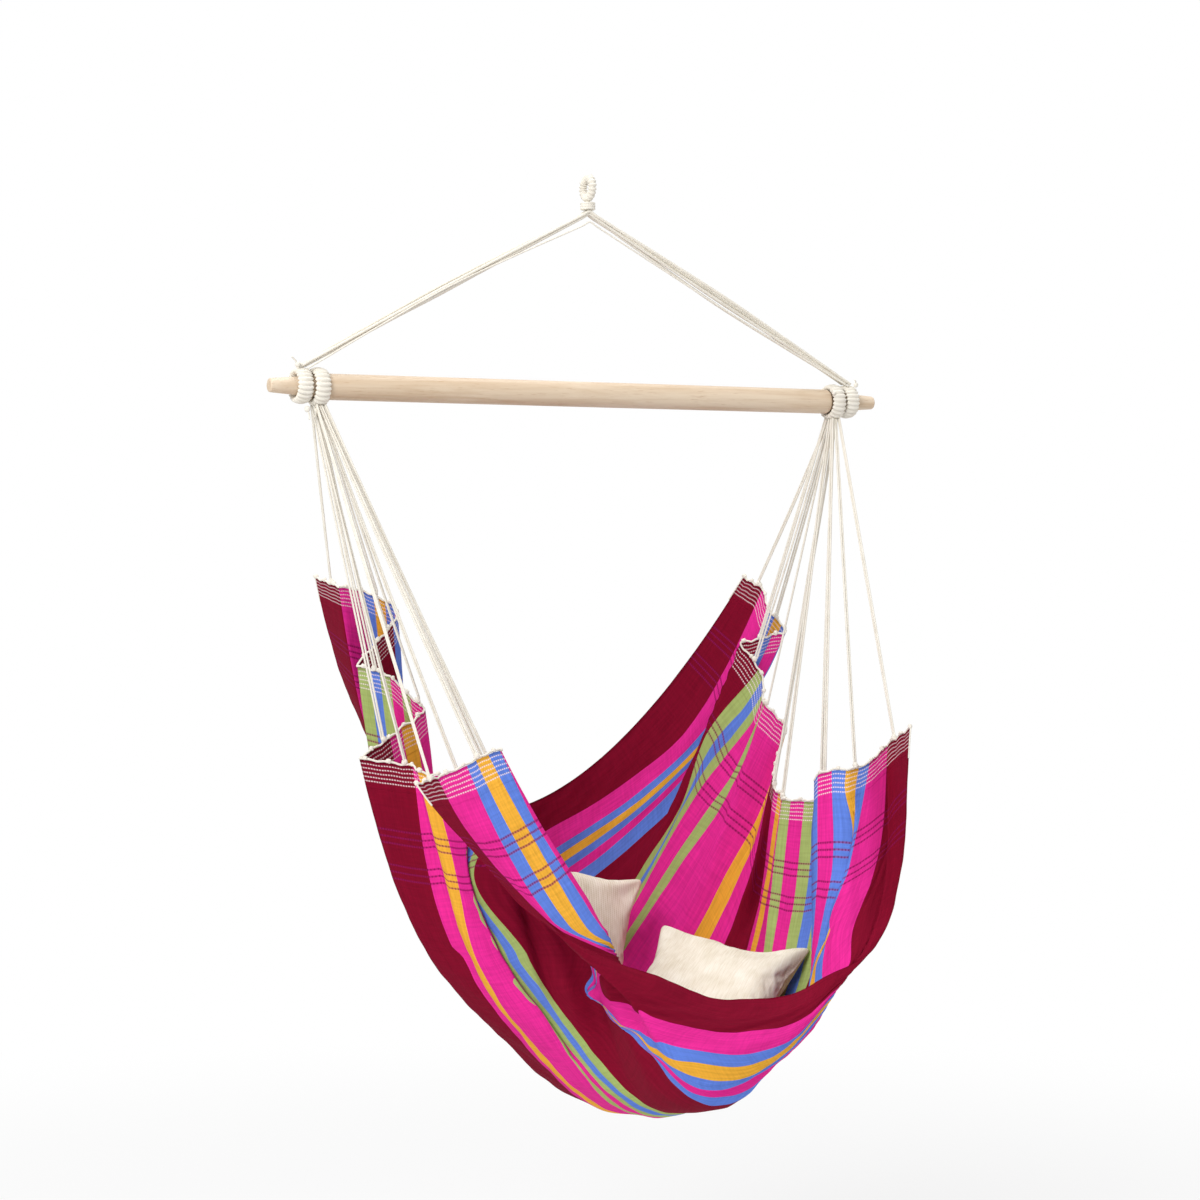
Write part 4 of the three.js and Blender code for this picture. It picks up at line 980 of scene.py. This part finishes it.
# a sewn pad filled with air: remeshed, blown up by a cloth simulation, each point moved no further than the cap
def fillWithAir(piece):
    remesh = piece.modifiers.new("remesh", "REMESH")
    remesh.mode = "VOXEL"
    remesh.voxel_size = cushion["voxel"]
    before = coordsOf(applied(piece))
    sim = piece.modifiers.new("air", "CLOTH")
    for key, value in air.items():
        setattr(sim.settings, key, value)
    sim.settings.effector_weights.gravity = 0
    sim.point_cache.frame_end = cushion["frames"]
    for step in range(1, cushion["frames"] + 1):
        bpy.context.scene.frame_set(step)
    mesh = applied(piece)
    bpy.context.scene.frame_set(1)
    move = coordsOf(mesh) - before
    far = np.linalg.norm(move, axis=1, keepdims=True)
    print(piece.name, "points", len(before), "moved at most", round(float(far.max()), 4))
    mesh.vertices.foreach_set("co", (before + move * np.minimum(1, cushion["cap"] / np.maximum(far, 1e-9))).ravel())
    piece.modifiers.new("finer", "SUBSURF").levels = 1
    return applied(piece)


# a crowned square pad: its sides draw in by a square between the corners, and its thickness rises to the middle by a
# power of the product of the distances from the sides
def padMesh(name, side, height):
    a = -np.cos(np.pi * np.linspace(0, 1, cushion["cells"] + 1))[:, None]
    b = a.T
    x = side / 2 * a * (1 - cushion["drawIn"] * (1 - b * b))
    y = side / 2 * b * (1 - cushion["drawIn"] * (1 - a * a))
    thick = cushion["seam"] / 2 + (height / 2 - cushion["seam"] / 2) * ((1 - a * a) * (1 - b * b)) ** cushion["crown"]
    return twoSkins(name, np.stack([x, y, thick], -1), np.stack([x, y, -thick], -1))


# a cushion: the pad, blown up and brought back to its size, gets its corners, seam, folds and lifts, each a weight
# times a move, and is then turned to its edges and set at the middle of its CAD node
def makeCushion(name):
    node = f"cushion_{name}"
    sizes = cushions[name]
    lo, hi = (np.array(c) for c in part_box(node))
    edge = unit(np.array(sizes["edge"], float))
    down = np.array(sizes["down"], float)
    down = unit(down - edge * (down @ edge))
    face = np.cross(edge, down)
    face = -face if face[2] < 0 else face
    side, height = sizes["side"], sizes["height"]
    half = side / 2
    piece = bpy.data.objects.new(f"{name}Cushion", padMesh(f"{name}Cushion", side, height * cushion["startShare"]))
    bpy.context.scene.collection.objects.link(piece)
    mesh = fillWithAir(piece)
    local = coordsOf(mesh)
    local *= np.array([side, side, height]) / (local.max(axis=0) - local.min(axis=0))
    inCorner = (local[:, 0] / half) ** 2 * (local[:, 1] / half) ** 2
    local[:, :2] *= 1 + cushion["ear"] * inCorner[:, None]
    x, y, z = local.T.copy()
    for (cornerX, cornerY), move in sizes["corners"].items():
        weight = np.clip((1 + cornerX * x / half) / 2, 0, 1) * np.clip((1 + cornerY * y / half) / 2, 0, 1)
        local[:, :2] += weight[:, None] * np.array(move)
    ridge, folds = cushion["ridge"], cushion["folds"]
    rim = np.clip(np.maximum(np.abs(x), np.abs(y)) / half, 0, 1)
    stands = ridge["size"] * np.exp(-(z / ridge["band"]) ** 2) * (rim > ridge["from"])
    local[:, :2] *= (1 + stands / half)[:, None]
    for cornerX, cornerY in ((-1, -1), (-1, 1), (1, -1), (1, 1)):
        dx, dy = half - cornerX * x, half - cornerY * y
        wave = np.sin(folds["count"] * np.arctan2(dy, dx) + cornerX + 2 * cornerY)
        bell = np.exp(-((np.hypot(dx, dy) - folds["away"]) / folds["reach"]) ** 2)
        local[:, 2] += np.sign(z) * folds["size"] * wave * bell * np.minimum(1, np.abs(z) / folds["fade"])
    for atX, atY, reach, move in sizes["lifts"]:
        local += np.exp(-((x - atX * half) ** 2 + (y - atY * half) ** 2) / reach ** 2)[:, None] * np.array(move)
    # places on the flat cover: the arc sine lengthens them towards the seam, where the crown slopes
    a, b = np.clip(x / half, -1, 1), np.clip(y / half, -1, 1)
    places = half * np.stack([0.5 * a + 0.36 * np.arcsin(a), 0.5 * b + 0.36 * np.arcsin(b)], -1)
    placed = local[:, :1] * edge + local[:, 1:2] * down + local[:, 2:] * face + (lo + hi) / 2
    mesh.vertices.foreach_set("co", placed.ravel())
    layFlat(mesh, "cushion", places)
    faceOutwards(mesh)
    mesh.shade_smooth()
    mesh.materials.clear()
    mesh.materials.append(cushionMaterial(**covers[name]))
    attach(piece, node)
    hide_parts(node)
    built = [(c * 1000).round() for c in (placed.min(axis=0), placed.max(axis=0))]
    print(piece.name, "box", *built, "cad", (lo * 1000).round(), (hi * 1000).round())


makeCushion("back")
makeCushion("front")
print("cushions made")

# pale floor, background and soft studio light
room = {
    "floorHeight": -1.85, "floorHalf": 12.0, "floor": "#f3f3f3", "white": "#ffffff", "ambient": 0.48,
    "shadowReach": (0.9, 3.2), "glow": (0.6, 1.0),
}


# one where the camera or a reflection looks, and nought where light falls
def seenIn(tree):
    path = addNode(tree, "ShaderNodeLightPath")
    rays = {0: path.outputs["Is Camera Ray"], 1: path.outputs["Is Glossy Ray"]}
    return addNode(tree, "ShaderNodeMath", rays, operation="MAXIMUM")


world = bpy.data.worlds.new("studio")
world.use_nodes = True
bpy.context.scene.world = world
tree = world.node_tree
tree.nodes.clear()
light, white = (
    addNode(tree, "ShaderNodeBackground", {"Color": linear(room["white"]), "Strength": strength})
    for strength in (room["ambient"], 1.0)
)
mixed = addNode(tree, "ShaderNodeMixShader", {0: seenIn(tree), 1: light, 2: white})
addNode(tree, "ShaderNodeOutputWorld", {"Surface": mixed})

floorMesh = bpy.data.meshes.new("floor")
f = room["floorHalf"]
floorMesh.from_pydata([(-f, -f, 0), (f, -f, 0), (f, f, 0), (-f, f, 0)], [], [(0, 1, 2, 3)])
floor = bpy.data.objects.new("floor", floorMesh)
floor.location = (0, 0, room["floorHeight"])
bpy.context.scene.collection.objects.link(floor)
# matt, and glowing white for the camera, less near its middle, where it keeps the shadow
floorMaterial, tree, shader = newMaterial("paleFloor")
feed(tree, shader, {"Base Color": linear(room["floor"]), "Roughness": 0.9})
glow = addNode(tree, "ShaderNodeEmission", {"Color": linear(room["white"]), "Strength": 1.0})
place = addNode(tree, "ShaderNodeTexCoord").outputs["Object"]
away = addNode(tree, "ShaderNodeVectorMath", {0: place}, operation="LENGTH")
nearness = addNode(tree, "ShaderNodeMapRange", {
    "Value": away.outputs["Value"], "From Min": room["shadowReach"][0], "From Max": room["shadowReach"][1],
    "To Min": room["glow"][0], "To Max": room["glow"][1],
}, interpolation_type="SMOOTHSTEP")
part = addNode(tree, "ShaderNodeMath", {0: seenIn(tree), 1: nearness}, operation="MULTIPLY")
mixed = addNode(tree, "ShaderNodeMixShader", {0: part, 1: shader, 2: glow})
feed(tree, tree.nodes["Material Output"], {"Surface": mixed})
floorMesh.materials.append(floorMaterial)

lamps = {
    "key": {"place": (-3.3, -2.3, 1.5), "size": 2.0, "power": 142},
    "fill": {"place": (3.2, -2.4, 0.5), "size": 2.4, "power": 24},
    "top": {"place": (0.2, 0.4, 2.2), "size": 2.2, "power": 52},
}
aim = np.array([0.0, 0.0, -0.85])  # what the lamps point at
for name, lamp in lamps.items():
    data = bpy.data.lights.new(name, "AREA")
    data.size = lamp["size"]
    data.energy = lamp["power"]
    lampObject = bpy.data.objects.new(name, data)
    lampObject.location = lamp["place"]
    away = np.array(lamp["place"]) - aim
    tilt = math.atan2(math.hypot(away[0], away[1]), away[2])
    lampObject.rotation_euler = (tilt, 0, math.atan2(away[1], away[0]) + math.pi / 2)
    bpy.context.scene.collection.objects.link(lampObject)
print("room and lamps made")
